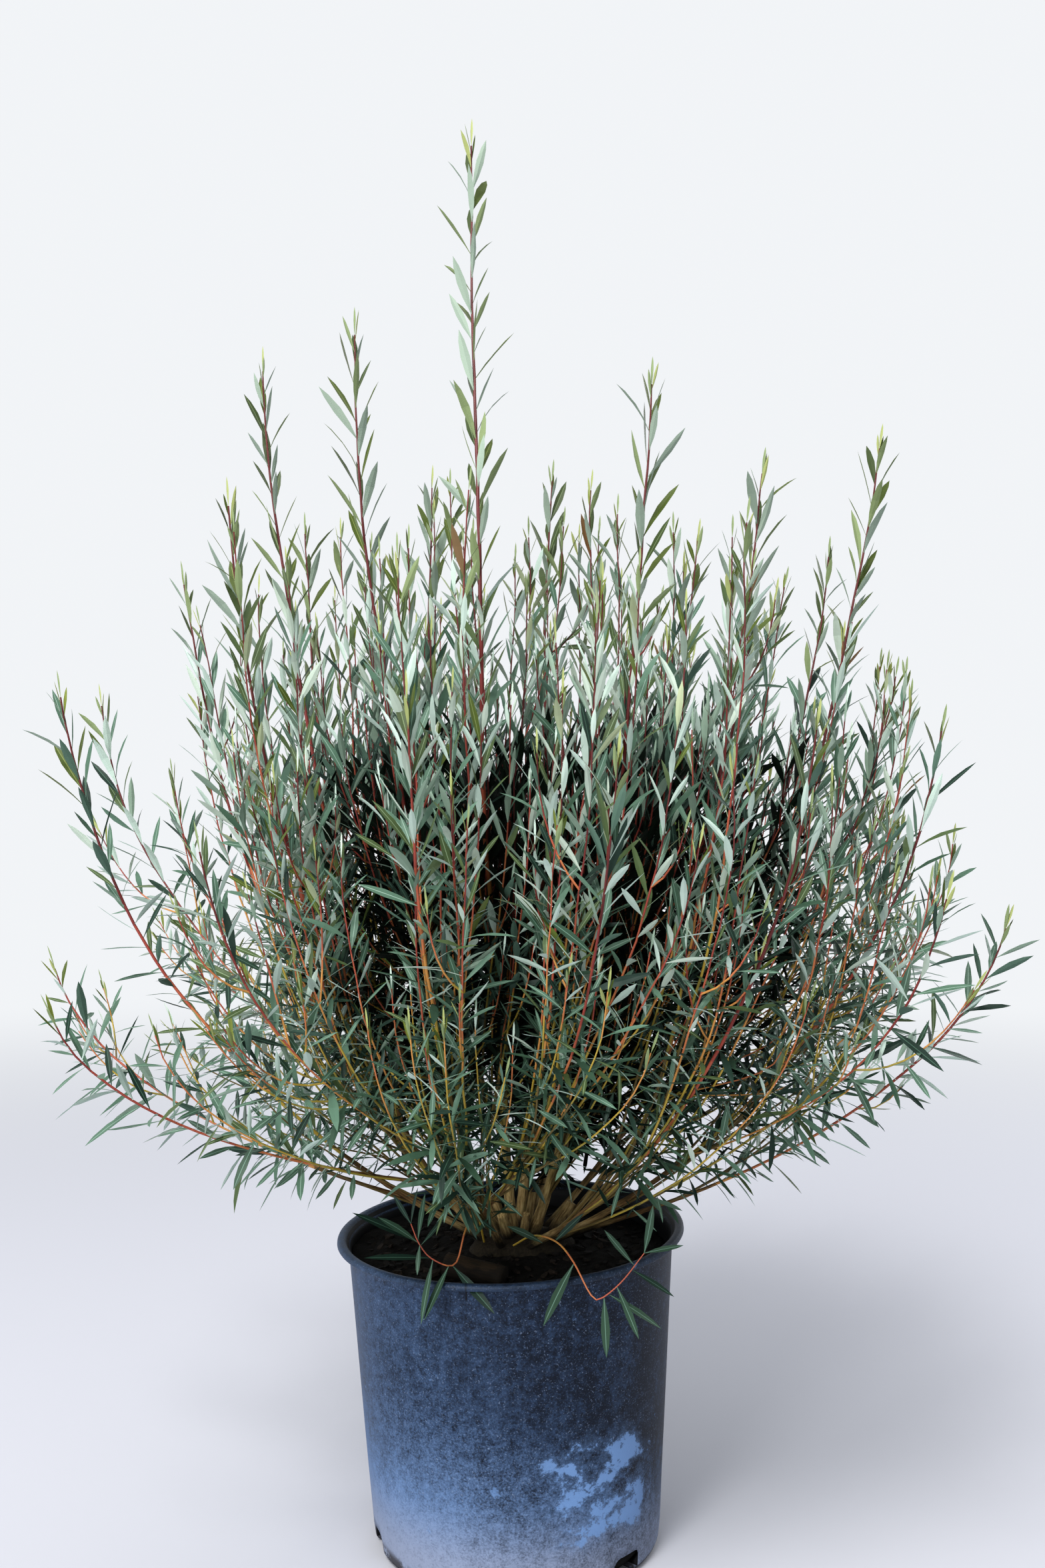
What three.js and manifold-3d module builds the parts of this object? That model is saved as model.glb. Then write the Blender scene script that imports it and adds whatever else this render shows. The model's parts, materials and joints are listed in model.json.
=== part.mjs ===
// A potted purple willow: a nursery can with its soil, a low woody stool, the stems and boughs that
// fan out from it, and one mass of foliage for each leader of the crown.
// Millimetres, +Z up, origin at the centre of the can's underside, front of the plant towards -Y.
import * as THREE from "three";
import { mergeVertices } from "three/addons/utils/BufferGeometryUtils.js";
import Module from "manifold-3d";

const wasm = await Module();
wasm.setup();

// the can
const potHeight = 358;
const lipRadius = 203;
const lipHeight = 7;
const lipInsideRadius = 194; // inner edge of the lip's flat top, from where it slopes down to the wall
const lipSlope = 8; // height of that slope
const bodyTopRadius = 190;
const baseRadius = 166;
const baseCorner = 12;
const wallThickness = 3;
const baseThickness = 5;
const innerCorner = 20; // height at which the inside of the wall meets its rounded foot
const rimTilt = 2.4; // degrees, the right side of the rim stands higher
const rimBackTilt = 1; // degrees, and so does its back
const rimShift = -8; // how far the rim has leaned to the left of the base
const potSides = 40;
const drainCount = 6;
const drainWidth = 44;
const drainHeight = 29;
const drainTurn = -43; // degrees, the place of the first drain opening

// the soil and the woody stool on it
const soilTop = 335;
const seatGap = 0.35;
const stoolHeight = 26;
const stoolFlareRadius = 70;
const stoolTopRadius = 57;
const stoolSides = 20;

// stems, boughs and masses of foliage
const limbStart = 11; // height above the soil at which the limbs leave the stool
const limbSides = 7;
const limbRings = 6;
const bareLength = { stem: 195, bough: 115 };
const stemRadius = [8.5, 5.2];
const boughRadius = [6, 4.2];
const twigRadius = [3, 2.2];
const startOut = 0.55; // share of the reach that a limb covers before it turns up
const startRise = 0.23;
const endRise = 0.42;
const endLean = 0.08;
const massSides = 8;
const massRings = 9;
const spireRadius = 27;
const crownTop = 1120; // top of the dense part of the crown, at its middle
const crownSlope = 0.00088; // how fast that top falls towards the edge
const spineSamples = 26;
const shareMargin = 1.6; // half of the air between two masses
const swellStep = 2;
const sideParting = 0.4; // share of a side mass within which it and its parent don't press apart

// One row for each leader: where its tip is, and how stout its mass may be.
// turn is degrees from +X, reach is the distance of the tip from the axis, height is above the floor.
// foot is the place on the stool, [turn, radius]; from and at are the leader that it forks from.
const leaders = [
  { name: "tall_front", turn: 253, reach: 157, height: 1592, girth: 130, foot: [250, 15] },
  { name: "left_front_high", turn: 226, reach: 249, height: 1387, girth: 130, from: "tall_front", at: 0.1 },
  { name: "left_high", turn: 184, reach: 299, height: 1391, girth: 130, foot: [165, 18] },
  { name: "centre_back", turn: 140, reach: 140, height: 1277, girth: 130, from: "left_high", at: 0.12 },
  { name: "back_high", turn: 78, reach: 204, height: 1306, girth: 130, foot: [80, 16] },
  { name: "right_front_high", turn: 305, reach: 245, height: 1328, girth: 130, foot: [335, 18] },
  { name: "right_inner", turn: 336, reach: 294, height: 1252, girth: 125, from: "right_front_high", at: 0.13 },
  { name: "right_high", turn: 357, reach: 418, height: 1301, girth: 120, foot: [14, 44] },
  { name: "right_back", turn: 32, reach: 492, height: 1217, girth: 120, foot: [42, 44] },
  { name: "right_front", turn: 338, reach: 486, height: 967, girth: 95, foot: [322, 44] },
  { name: "right_low", turn: 356, reach: 562, height: 745, girth: 58, foot: [348, 45] },
  { name: "left_front", turn: 222, reach: 389, height: 1191, girth: 120, foot: [213, 44] },
  { name: "left_middle", turn: 174, reach: 402, height: 1151, girth: 120, foot: [148, 44] },
  { name: "left_back", turn: 147, reach: 327, height: 1235, girth: 120, from: "left_middle", at: 0.14 },
  { name: "far_left_front", turn: 196, reach: 514, height: 1005, girth: 92, foot: [182, 44] },
  { name: "left_low", turn: 177, reach: 554, height: 690, girth: 56, from: "far_left_front", at: 0.12 },
  { name: "left_front_low", turn: 209, reach: 533, height: 674, girth: 58, from: "left_front", at: 0.12 },
  { name: "front_left", turn: 257, reach: 441, height: 985, girth: 110, foot: [246, 44] },
  { name: "front_right", turn: 281, reach: 479, height: 930, girth: 105, from: "front_left", at: 0.15 },
  { name: "front_far_right", turn: 303, reach: 499, height: 960, girth: 105, foot: [285, 44] },
  { name: "back_left", turn: 129, reach: 505, height: 1080, girth: 120, foot: [110, 44] },
  { name: "back_right", turn: 70, reach: 459, height: 1120, girth: 120, foot: [74, 44] },
  { name: "back_middle", turn: 102, reach: 410, height: 1170, girth: 120, from: "back_right", at: 0.14 },
];

// Masses that part from another mass, inside the crown, with no bare bough of their own.
const sideMasses = [
  { name: "right_back_inner", turn: 30, reach: 262, height: 1218, girth: 110, from: "back_high", at: 0.28 },
  { name: "far_left_back", turn: 163, reach: 560, height: 1011, girth: 84, from: "left_middle", at: 0.28 },
  { name: "right_front_low", turn: 320, reach: 537, height: 802, girth: 66, from: "right_front", at: 0.27 },
  { name: "front_left_low", turn: 236, reach: 512, height: 850, girth: 74, from: "front_left", at: 0.28 },
  { name: "right_back_low", turn: 24, reach: 560, height: 850, girth: 76, from: "right_back", at: 0.26 },
  { name: "back_low", turn: 89, reach: 545, height: 740, girth: 76, from: "back_right", at: 0.27 },
  { name: "back_left_low", turn: 146, reach: 556, height: 720, girth: 76, from: "back_left", at: 0.27 },
];

// Thin twigs that lie over the rim at the front, with a thin hanging mass of leaves each.
const sprigs = [
  { name: "rim_left", foot: [229, 54], crest: [-66, -176, 384], tip: [-100, -236, 322] },
  { name: "rim_right", foot: [266, 56], crest: [70, -196, 384], tip: [93, -240, 292] },
];

const colours = {
  pot: new THREE.Color(0.045, 0.055, 0.075),
  soil: new THREE.Color(0.05, 0.035, 0.025),
  bark: new THREE.Color(0.42, 0.33, 0.17),
  leaf: new THREE.Color(0.3, 0.42, 0.34),
};

function material(colour, roughness) {
  return new THREE.MeshStandardMaterial({ color: colour, roughness, metalness: 0 });
}

const materials = {
  pot: material(colours.pot, 0.55),
  soil: material(colours.soil, 0.95),
  bark: material(colours.bark, 0.8),
  leaf: material(colours.leaf, 0.6),
};

// A repeatable random number between 0 and 1.
function seeded(seed) {
  let state = seed;
  return () => {
    state = (state * 1664525 + 1013904223) % 4294967296;
    return state / 4294967296;
  };
}

function polar(turnDegrees, radius, z) {
  const turn = THREE.MathUtils.degToRad(turnDegrees);
  return new THREE.Vector3(radius * Math.cos(turn), radius * Math.sin(turn), z);
}

// A closed skin over rings of points, with a flat cap on the first and the last ring.
function skin(rings) {
  const sides = rings[0].length;
  const positions = rings.flat().flatMap((point) => point.toArray());
  const index = [];
  for (let ring = 0; ring < rings.length - 1; ring++) {
    for (let side = 0; side < sides; side++) {
      const next = (side + 1) % sides;
      const a = ring * sides + side;
      const b = ring * sides + next;
      const c = (ring + 1) * sides + next;
      const d = (ring + 1) * sides + side;
      index.push(a, b, c, a, c, d);
    }
  }
  const last = (rings.length - 1) * sides;
  for (let side = 1; side < sides - 1; side++) {
    index.push(0, side + 1, side);
    index.push(last, last + side, last + side + 1);
  }
  const geometry = new THREE.BufferGeometry();
  geometry.setAttribute("position", new THREE.Float32BufferAttribute(positions, 3));
  geometry.setIndex(index);
  return geometry;
}

function toManifold(geometry) {
  const bare = geometry.clone();
  bare.deleteAttribute("normal");
  bare.deleteAttribute("uv");
  const merged = mergeVertices(bare, 1e-4);
  return new wasm.Manifold(
    new wasm.Mesh({
      numProp: 3,
      vertProperties: new Float32Array(merged.attributes.position.array),
      triVerts: new Uint32Array(merged.index.array),
    }),
  );
}

function toGeometry(solid) {
  const mesh = solid.getMesh();
  const geometry = new THREE.BufferGeometry();
  geometry.setAttribute("position", new THREE.BufferAttribute(mesh.vertProperties, 3));
  geometry.setIndex(new THREE.BufferAttribute(mesh.triVerts, 1));
  return geometry;
}

function largestPiece(solid) {
  const pieces = solid.decompose();
  return pieces.reduce((best, piece) => (piece.volume() > best.volume() ? piece : best));
}

// Cuts a shape back to the outside of the given ones, and keeps its main piece.
function cutBack(geometry, cutters) {
  let solid = toManifold(geometry);
  for (const cutter of cutters) {
    solid = solid.subtract(toManifold(cutter));
  }
  return toGeometry(largestPiece(solid));
}

// Places along a curve with a frame that doesn't spin, each as { centre, across, up, along }.
function framesAlong(curve, start, end, count) {
  const frames = [];
  let across = null;
  for (let step = 0; step < count; step++) {
    const at = start + ((end - start) * step) / (count - 1);
    const centre = curve.getPointAt(at);
    const along = curve.getTangentAt(at);
    if (across === null) {
      across = new THREE.Vector3(-along.y, along.x, 0);
      if (across.length() < 0.01) {
        across.set(1, 0, 0);
      }
    }
    across = across.clone().addScaledVector(along, -across.dot(along)).normalize();
    const up = new THREE.Vector3().crossVectors(along, across);
    frames.push({ centre, across, up, along, at });
  }
  return frames;
}

function ringPoint(frame, angle, radius) {
  return frame.centre
    .clone()
    .addScaledVector(frame.across, radius * Math.cos(angle))
    .addScaledVector(frame.up, radius * Math.sin(angle));
}

// How much higher than its middle the leaning rim is over a point.
function rimLift(point) {
  const right = Math.tan(THREE.MathUtils.degToRad(rimTilt));
  const back = Math.tan(THREE.MathUtils.degToRad(rimBackTilt));
  return point.x * right + point.y * back;
}

// The can leans as a whole over its level base: a point keeps its place on the wall.
function leanPot(point) {
  const share = point.z / potHeight;
  return new THREE.Vector3(point.x + rimShift * share, point.y, point.z + share * rimLift(point));
}

function wallRadius(z) {
  return baseRadius + ((bodyTopRadius - baseRadius) * z) / (potHeight - lipHeight);
}

function potGeometry() {
  const profile = [new THREE.Vector2(0, 0)];
  const cornerSteps = 3;
  for (let step = 0; step <= cornerSteps; step++) {
    const angle = (Math.PI / 2) * (step / cornerSteps);
    const radius = baseRadius - baseCorner + baseCorner * Math.sin(angle);
    profile.push(new THREE.Vector2(radius, baseCorner - baseCorner * Math.cos(angle)));
  }
  const lipBottom = potHeight - lipHeight;
  profile.push(new THREE.Vector2(bodyTopRadius, lipBottom));
  profile.push(new THREE.Vector2(lipRadius - 1, lipBottom + 1));
  profile.push(new THREE.Vector2(lipRadius, potHeight - 2));
  profile.push(new THREE.Vector2(lipRadius - 2, potHeight));
  profile.push(new THREE.Vector2(lipInsideRadius, potHeight));
  profile.push(new THREE.Vector2(bodyTopRadius - wallThickness + 1, potHeight - lipSlope));
  profile.push(new THREE.Vector2(wallRadius(lipBottom) - wallThickness, lipBottom - 4));
  profile.push(new THREE.Vector2(wallRadius(innerCorner) - wallThickness - 0.8, innerCorner));
  profile.push(new THREE.Vector2(wallRadius(0) - wallThickness - baseCorner, baseThickness));
  profile.push(new THREE.Vector2(0, baseThickness));
  const lathe = new THREE.LatheGeometry(profile, potSides);
  lathe.rotateX(Math.PI / 2);
  const places = lathe.attributes.position;
  for (let i = 0; i < places.count; i++) {
    const leaned = leanPot(new THREE.Vector3().fromBufferAttribute(places, i));
    places.setXYZ(i, leaned.x, leaned.y, leaned.z);
  }
  let pot = toManifold(lathe);
  for (let drain = 0; drain < drainCount; drain++) {
    pot = pot.subtract(toManifold(drainCutter(drainTurn + (360 / drainCount) * drain)));
  }
  return toGeometry(pot);
}

// An arched plug that opens the foot of the wall.
function drainCutter(turnDegrees) {
  const half = drainWidth / 2;
  const shape = new THREE.Shape();
  shape.moveTo(-half, -baseThickness);
  shape.lineTo(half, -baseThickness);
  shape.lineTo(half, drainHeight - 10);
  shape.lineTo(half - 10, drainHeight);
  shape.lineTo(10 - half, drainHeight);
  shape.lineTo(-half, drainHeight - 10);
  shape.closePath();
  const plug = new THREE.ExtrudeGeometry(shape, { depth: 60, bevelEnabled: false });
  plug.rotateX(Math.PI / 2);
  plug.translate(0, baseRadius + 30, 0);
  plug.rotateZ(THREE.MathUtils.degToRad(turnDegrees - 90));
  return plug;
}

// The soil fills the can, whose wall leans, up to a level surface.
function soilGeometry() {
  const levels = [baseThickness + seatGap, innerCorner + 2, soilTop * 0.5, soilTop];
  const rings = levels.map((level, row) => {
    const shift = (rimShift * level) / potHeight;
    const ring = [];
    for (let side = 0; side < potSides; side++) {
      const turn = (2 * Math.PI * side) / potSides;
      const onWall = level / (1 + rimLift(polar((360 * side) / potSides, wallRadius(level), 0)) / potHeight);
      const inset = wallThickness + 1.4 + (row === 0 ? baseCorner : 0);
      const radius = wallRadius(onWall) - inset;
      ring.push(new THREE.Vector3(shift + radius * Math.cos(turn), radius * Math.sin(turn), level));
    }
    return ring;
  });
  return skin(rings);
}

// The low woody stool that all the stems rise from, with its flare, cut flat at the soil.
function stoolGeometry(grow = 0) {
  const rows = [
    [0, stoolFlareRadius],
    [0.25, stoolFlareRadius * 0.92],
    [0.7, stoolTopRadius * 1.04],
    [1, stoolTopRadius * 0.94],
  ];
  const rings = rows.map(([rise, radius], row) => {
    const ring = [];
    for (let side = 0; side < stoolSides; side++) {
      const turn = (2 * Math.PI * side) / stoolSides;
      const lobes = 1 + 0.05 * Math.sin(5 * turn + 0.6) + 0.03 * Math.sin(3 * turn + 2);
      const top = row === rows.length - 1 ? grow : 0;
      const z = soilTop + seatGap + stoolHeight * rise + top;
      const outline = radius * lobes + grow;
      ring.push(new THREE.Vector3(outline * Math.cos(turn), outline * Math.sin(turn), z));
    }
    return ring;
  });
  return skin(rings);
}

// A leader leaves the stool or its parent low, runs outwards and turns up towards its tip.
function leaderCurve(foot, tip) {
  const out = new THREE.Vector3(tip.x - foot.x, tip.y - foot.y, 0);
  const rise = tip.z - foot.z;
  const low = foot.clone().addScaledVector(out, startOut);
  low.z += startRise * rise;
  const high = tip.clone().addScaledVector(out, -endLean);
  high.z -= endRise * rise;
  return new THREE.CubicBezierCurve3(foot, low, high, tip);
}

const curves = {};
const spines = [];

for (const leader of leaders) {
  const forks = leader.from !== undefined;
  const foot = forks
    ? curves[leader.from].getPointAt(leader.at)
    : polar(leader.foot[0], leader.foot[1], soilTop + limbStart);
  const curve = leaderCurve(foot, polar(leader.turn, leader.reach, leader.height));
  curves[leader.name] = curve;
  const bare = forks ? bareLength.bough : bareLength.stem;
  spines.push({ ...leader, curve, forks, enter: bare / curve.getLength() });
}

for (const mass of sideMasses) {
  const foot = curves[mass.from].getPointAt(mass.at);
  const curve = leaderCurve(foot, polar(mass.turn, mass.reach, mass.height));
  curves[mass.name] = curve;
  spines.push({ ...mass, curve, enter: 0, side: true });
}

for (const sprig of sprigs) {
  const foot = polar(sprig.foot[0], sprig.foot[1], soilTop + limbStart + 3);
  const crest = new THREE.Vector3(...sprig.crest);
  const tip = new THREE.Vector3(...sprig.tip);
  const curve = new THREE.CatmullRomCurve3([foot, crest, tip]);
  curves[sprig.name] = curve;
  spines.push({ ...sprig, curve, girth: 26, enter: 0.66, hanging: true });
}

for (const spine of spines) {
  spine.points = framesAlong(spine.curve, 0, 1, spineSamples).map((frame) => frame.centre);
}

// The rim counts as a line that a mass keeps away from.
const rimLine = [];
for (let side = 0; side < potSides; side++) {
  rimLine.push(leanPot(polar((360 * side) / potSides, lipRadius - 8, potHeight)));
}

function distanceToLine(point, line) {
  const nearest = new THREE.Vector3();
  const stretch = new THREE.Line3();
  let least = Infinity;
  for (let i = 0; i < line.length - 1; i++) {
    stretch.set(line[i], line[i + 1]);
    stretch.closestPointToPoint(point, true, nearest);
    least = Math.min(least, nearest.distanceTo(point));
  }
  return least;
}

// How far a mass reaches from its spine in one direction: to the middle of the space between it and
// its neighbours, or to its own girth.
function swell(frame, angle, limit, neighbours) {
  let radius = 4;
  while (radius < limit) {
    const point = ringPoint(frame, angle, radius);
    const share = radius + shareMargin;
    if (neighbours.some((line) => distanceToLine(point, line) < share)) {
      return Math.max(radius - swellStep, 3);
    }
    radius += swellStep;
  }
  return limit;
}

// The greatest radius of a mass at one place of its spine.
function massLimit(spine, frame, length, outward) {
  const fromTip = (1 - frame.at) * length;
  const fromStart = (frame.at - spine.enter) * length;
  const { x, y, z } = frame.centre;
  const denseTop = crownTop - crownSlope * (x * x + y * y);
  const dense = THREE.MathUtils.smoothstep(denseTop + 70 - z, 0, 190);
  const body = THREE.MathUtils.lerp(spireRadius, spine.girth, dense);
  const edge = 1 - 0.35 * Math.max(0, outward);
  const tipShare = Math.min(1, 0.16 + fromTip / 75);
  return Math.min(body * edge * tipShare, 15 + 0.5 * fromStart);
}

function neighboursOf(spine) {
  const lines = [rimLine];
  for (const other of spines) {
    if (other === spine) {
      continue;
    }
    const related = other.from === spine.name || spine.from === other.name;
    const apart = other.side || spine.side ? sideParting : other.enter;
    const first = related ? Math.round(spineSamples * apart) : 0;
    lines.push(other.points.slice(first));
  }
  return lines;
}

function massGeometry(spine, seed, grow = 0) {
  const random = seeded(seed);
  const length = spine.curve.getLength();
  const start = spine.side ? 0 : spine.enter + seatGap / length;
  const frames = framesAlong(spine.curve, start, 1, massRings);
  const neighbours = neighboursOf(spine);
  const rings = frames.map((frame, row) => {
    const ring = [];
    for (let side = 0; side < massSides; side++) {
      const angle = (2 * Math.PI * side) / massSides;
      const direction = ringPoint(frame, angle, 1).sub(frame.centre);
      const flat = new THREE.Vector3(frame.centre.x, frame.centre.y, 0).normalize();
      const limit = massLimit(spine, frame, length, direction.dot(flat));
      const uneven = 0.82 + 0.18 * random();
      const inner = spine.side && frame.at < 0.12 ? 16 : swell(frame, angle, limit, neighbours);
      const radius = row === massRings - 1 ? Math.min(inner, 4) : inner * uneven;
      ring.push(ringPoint(frame, angle, radius + grow));
    }
    return ring;
  });
  return skin(rings);
}

function limbGeometry(spine, radii, grow = 0) {
  const frames = framesAlong(spine.curve, 0, spine.enter, limbRings);
  const rings = frames.map((frame, row) => {
    const share = row / (limbRings - 1);
    const radius = THREE.MathUtils.lerp(radii[0], radii[1], Math.pow(share, 0.8)) + grow;
    const ring = [];
    for (let side = 0; side < limbSides; side++) {
      ring.push(ringPoint(frame, (2 * Math.PI * side) / limbSides, radius));
    }
    return ring;
  });
  return skin(rings);
}

const plant = new THREE.Group();

function addNode(name, geometry, surface) {
  const mesh = new THREE.Mesh(geometry, surface);
  mesh.name = name;
  plant.add(mesh);
}

addNode("pot", potGeometry(), materials.pot);
addNode("soil", soilGeometry(), materials.soil);
addNode("stool", stoolGeometry(), materials.bark);

const grownStool = stoolGeometry(seatGap);
const grownLimbs = {};

spines.forEach((spine, place) => {
  if (!spine.side) {
    const radii = spine.hanging ? twigRadius : spine.forks ? boughRadius : stemRadius;
    const kind = spine.hanging ? "twig" : spine.forks ? "bough" : "stem";
    const cutters = spine.forks ? [grownLimbs[spine.from]] : [grownStool];
    grownLimbs[spine.name] = limbGeometry(spine, radii, seatGap);
    addNode(`${kind}_${spine.name}`, cutBack(limbGeometry(spine, radii), cutters), materials.bark);
  }
  const seed = 71 + place * 13;
  const solid = massGeometry(spine, seed);
  if (!spine.side) {
    addNode(`foliage_${spine.name}`, solid, materials.leaf);
    return;
  }
  const parentPlace = spines.findIndex((other) => other.name === spine.from);
  const parent = massGeometry(spines[parentPlace], 71 + parentPlace * 13, seatGap);
  addNode(`foliage_${spine.name}`, cutBack(solid, [parent]), materials.leaf);
});

export default plant;
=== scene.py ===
import json
import math
import random

import bpy
from mathutils import Matrix, Vector, noise

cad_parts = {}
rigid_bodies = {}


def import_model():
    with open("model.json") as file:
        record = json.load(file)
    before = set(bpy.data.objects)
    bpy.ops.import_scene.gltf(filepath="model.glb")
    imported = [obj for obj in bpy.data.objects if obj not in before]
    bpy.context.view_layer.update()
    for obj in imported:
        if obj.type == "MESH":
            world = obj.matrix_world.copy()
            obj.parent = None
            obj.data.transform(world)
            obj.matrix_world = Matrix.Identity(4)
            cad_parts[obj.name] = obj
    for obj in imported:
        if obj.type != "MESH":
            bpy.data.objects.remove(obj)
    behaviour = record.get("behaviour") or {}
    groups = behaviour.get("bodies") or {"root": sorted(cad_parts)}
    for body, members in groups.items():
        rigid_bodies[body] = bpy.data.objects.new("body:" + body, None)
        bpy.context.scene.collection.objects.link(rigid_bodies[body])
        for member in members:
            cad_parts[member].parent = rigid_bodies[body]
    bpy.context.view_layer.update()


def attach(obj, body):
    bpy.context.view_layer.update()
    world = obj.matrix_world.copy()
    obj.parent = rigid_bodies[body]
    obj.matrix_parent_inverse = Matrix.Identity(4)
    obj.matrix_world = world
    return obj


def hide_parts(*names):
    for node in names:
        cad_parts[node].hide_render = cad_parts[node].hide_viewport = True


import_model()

mm = 0.001
up = Vector((0, 0, 1))


def paint(*colour):
    # a colour as a painter reads it, 0 to 255, turned into the linear values that the shader takes
    return tuple(((c / 255 + 0.055) / 1.055) ** 2.4 if c > 10 else c / 255 / 12.92 for c in colour)


def turnsRound(count):
    return [2 * math.pi * i / count for i in range(count)]


def around(turn, radius, z=0.0):
    return Vector((radius * math.cos(turn), radius * math.sin(turn), z))


def polar(degrees, radius, z):
    return around(math.radians(degrees), radius, z)


def mix(a, b, share):
    return a + (b - a) * share


def clamp(value, low=0.0, high=1.0):
    return max(low, min(high, value))


def smooth(value, low, high):
    share = clamp((value - low) / (high - low))
    return share * share * (3 - 2 * share)


# Camera, floor and light

viewSpec = {
    "camera": (0.006, -1.794, 0.878),  # level, straight ahead
    "lens": 35.0,
    "sensor": 36.0,  # on the long side
    "farthest": 60,
    "floorSize": 24.0,
    "floorColour": paint(182, 183, 190),
    "floorFade": (1.3, 4.8),  # from the plant outwards the floor turns into the colour of the sky
    "skyColour": (0.955, 0.975, 1.0),
    "skyStrength": 0.78,
}

lightTarget = Vector((0, 0, 0.8))
lightRows = [
    # name, place, size, watts, colour
    ("overhead", (-1.3, -3.1, 4.8), 2.0, 250, (1.0, 0.99, 0.97)),
    ("frontLeft", (-2.2, -4.3, 1.9), 1.5, 105, (1.0, 0.995, 0.98)),
    ("backRight", (2.4, 2.2, 2.6), 2.2, 30, (0.97, 0.98, 1.0)),
]


def addCamera(spec):
    data = bpy.data.cameras.new("photoCamera")
    data.sensor_width = spec["sensor"]
    data.lens = spec["lens"]
    data.clip_end = spec["farthest"]
    camera = newPiece("photoCamera", data)
    camera.location = spec["camera"]
    camera.rotation_euler = (math.radians(90), 0, 0)
    bpy.context.scene.camera = camera


def addLights(rows):
    for name, place, size, watts, colour in rows:
        data = bpy.data.lights.new(name, "AREA")
        data.shape = "DISK"
        data.size = size
        data.energy = watts
        data.color = colour
        lamp = newPiece(name, data)
        lamp.location = place
        lamp.rotation_euler = (lightTarget - Vector(place)).to_track_quat("-Z", "Y").to_euler()


def addSky(spec):
    world = bpy.data.worlds.new("studio")
    world.use_nodes = True
    background = world.node_tree.nodes["Background"]
    background.inputs["Color"].default_value = (*spec["skyColour"], 1)
    background.inputs["Strength"].default_value = spec["skyStrength"]
    bpy.context.scene.world = world


def floorMaterial(spec):
    material, graph, shader = newMaterial("paleFloor", 1.0, 0.0)
    far = graph.ease(graph.reach(graph.place()), *spec["floorFade"])
    glow = tuple(c * spec["skyStrength"] for c in spec["skyColour"])
    graph.join(shader.inputs["Base Color"], graph.blend(far, spec["floorColour"], (0, 0, 0)))
    graph.join(shader.inputs["Emission Color"], graph.blend(far, (0, 0, 0), glow))
    shader.inputs["Emission Strength"].default_value = 1.0
    return material


# Shader and geometry maths as Python expressions

class Wire:
    # one output of a node; the operators add Math nodes
    def __init__(self, graph, socket):
        self.graph = graph
        self.socket = socket

    def maths(self, operation, *others):
        return self.graph.node("ShaderNodeMath", {"operation": operation}, [self, *others])


def addOperator(symbol, operation):
    def forward(self, other):
        return self.maths(operation, other)

    def backward(self, other):
        return self.graph.node("ShaderNodeMath", {"operation": operation}, [other, self])

    setattr(Wire, f"__{symbol}__", forward)
    setattr(Wire, f"__r{symbol}__", backward)


for symbol, operation in (("add", "ADD"), ("sub", "SUBTRACT"), ("mul", "MULTIPLY"), ("truediv", "DIVIDE"),
                          ("pow", "POWER"), ("gt", "GREATER_THAN"), ("lt", "LESS_THAN")):
    addOperator(symbol, operation)


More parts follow.
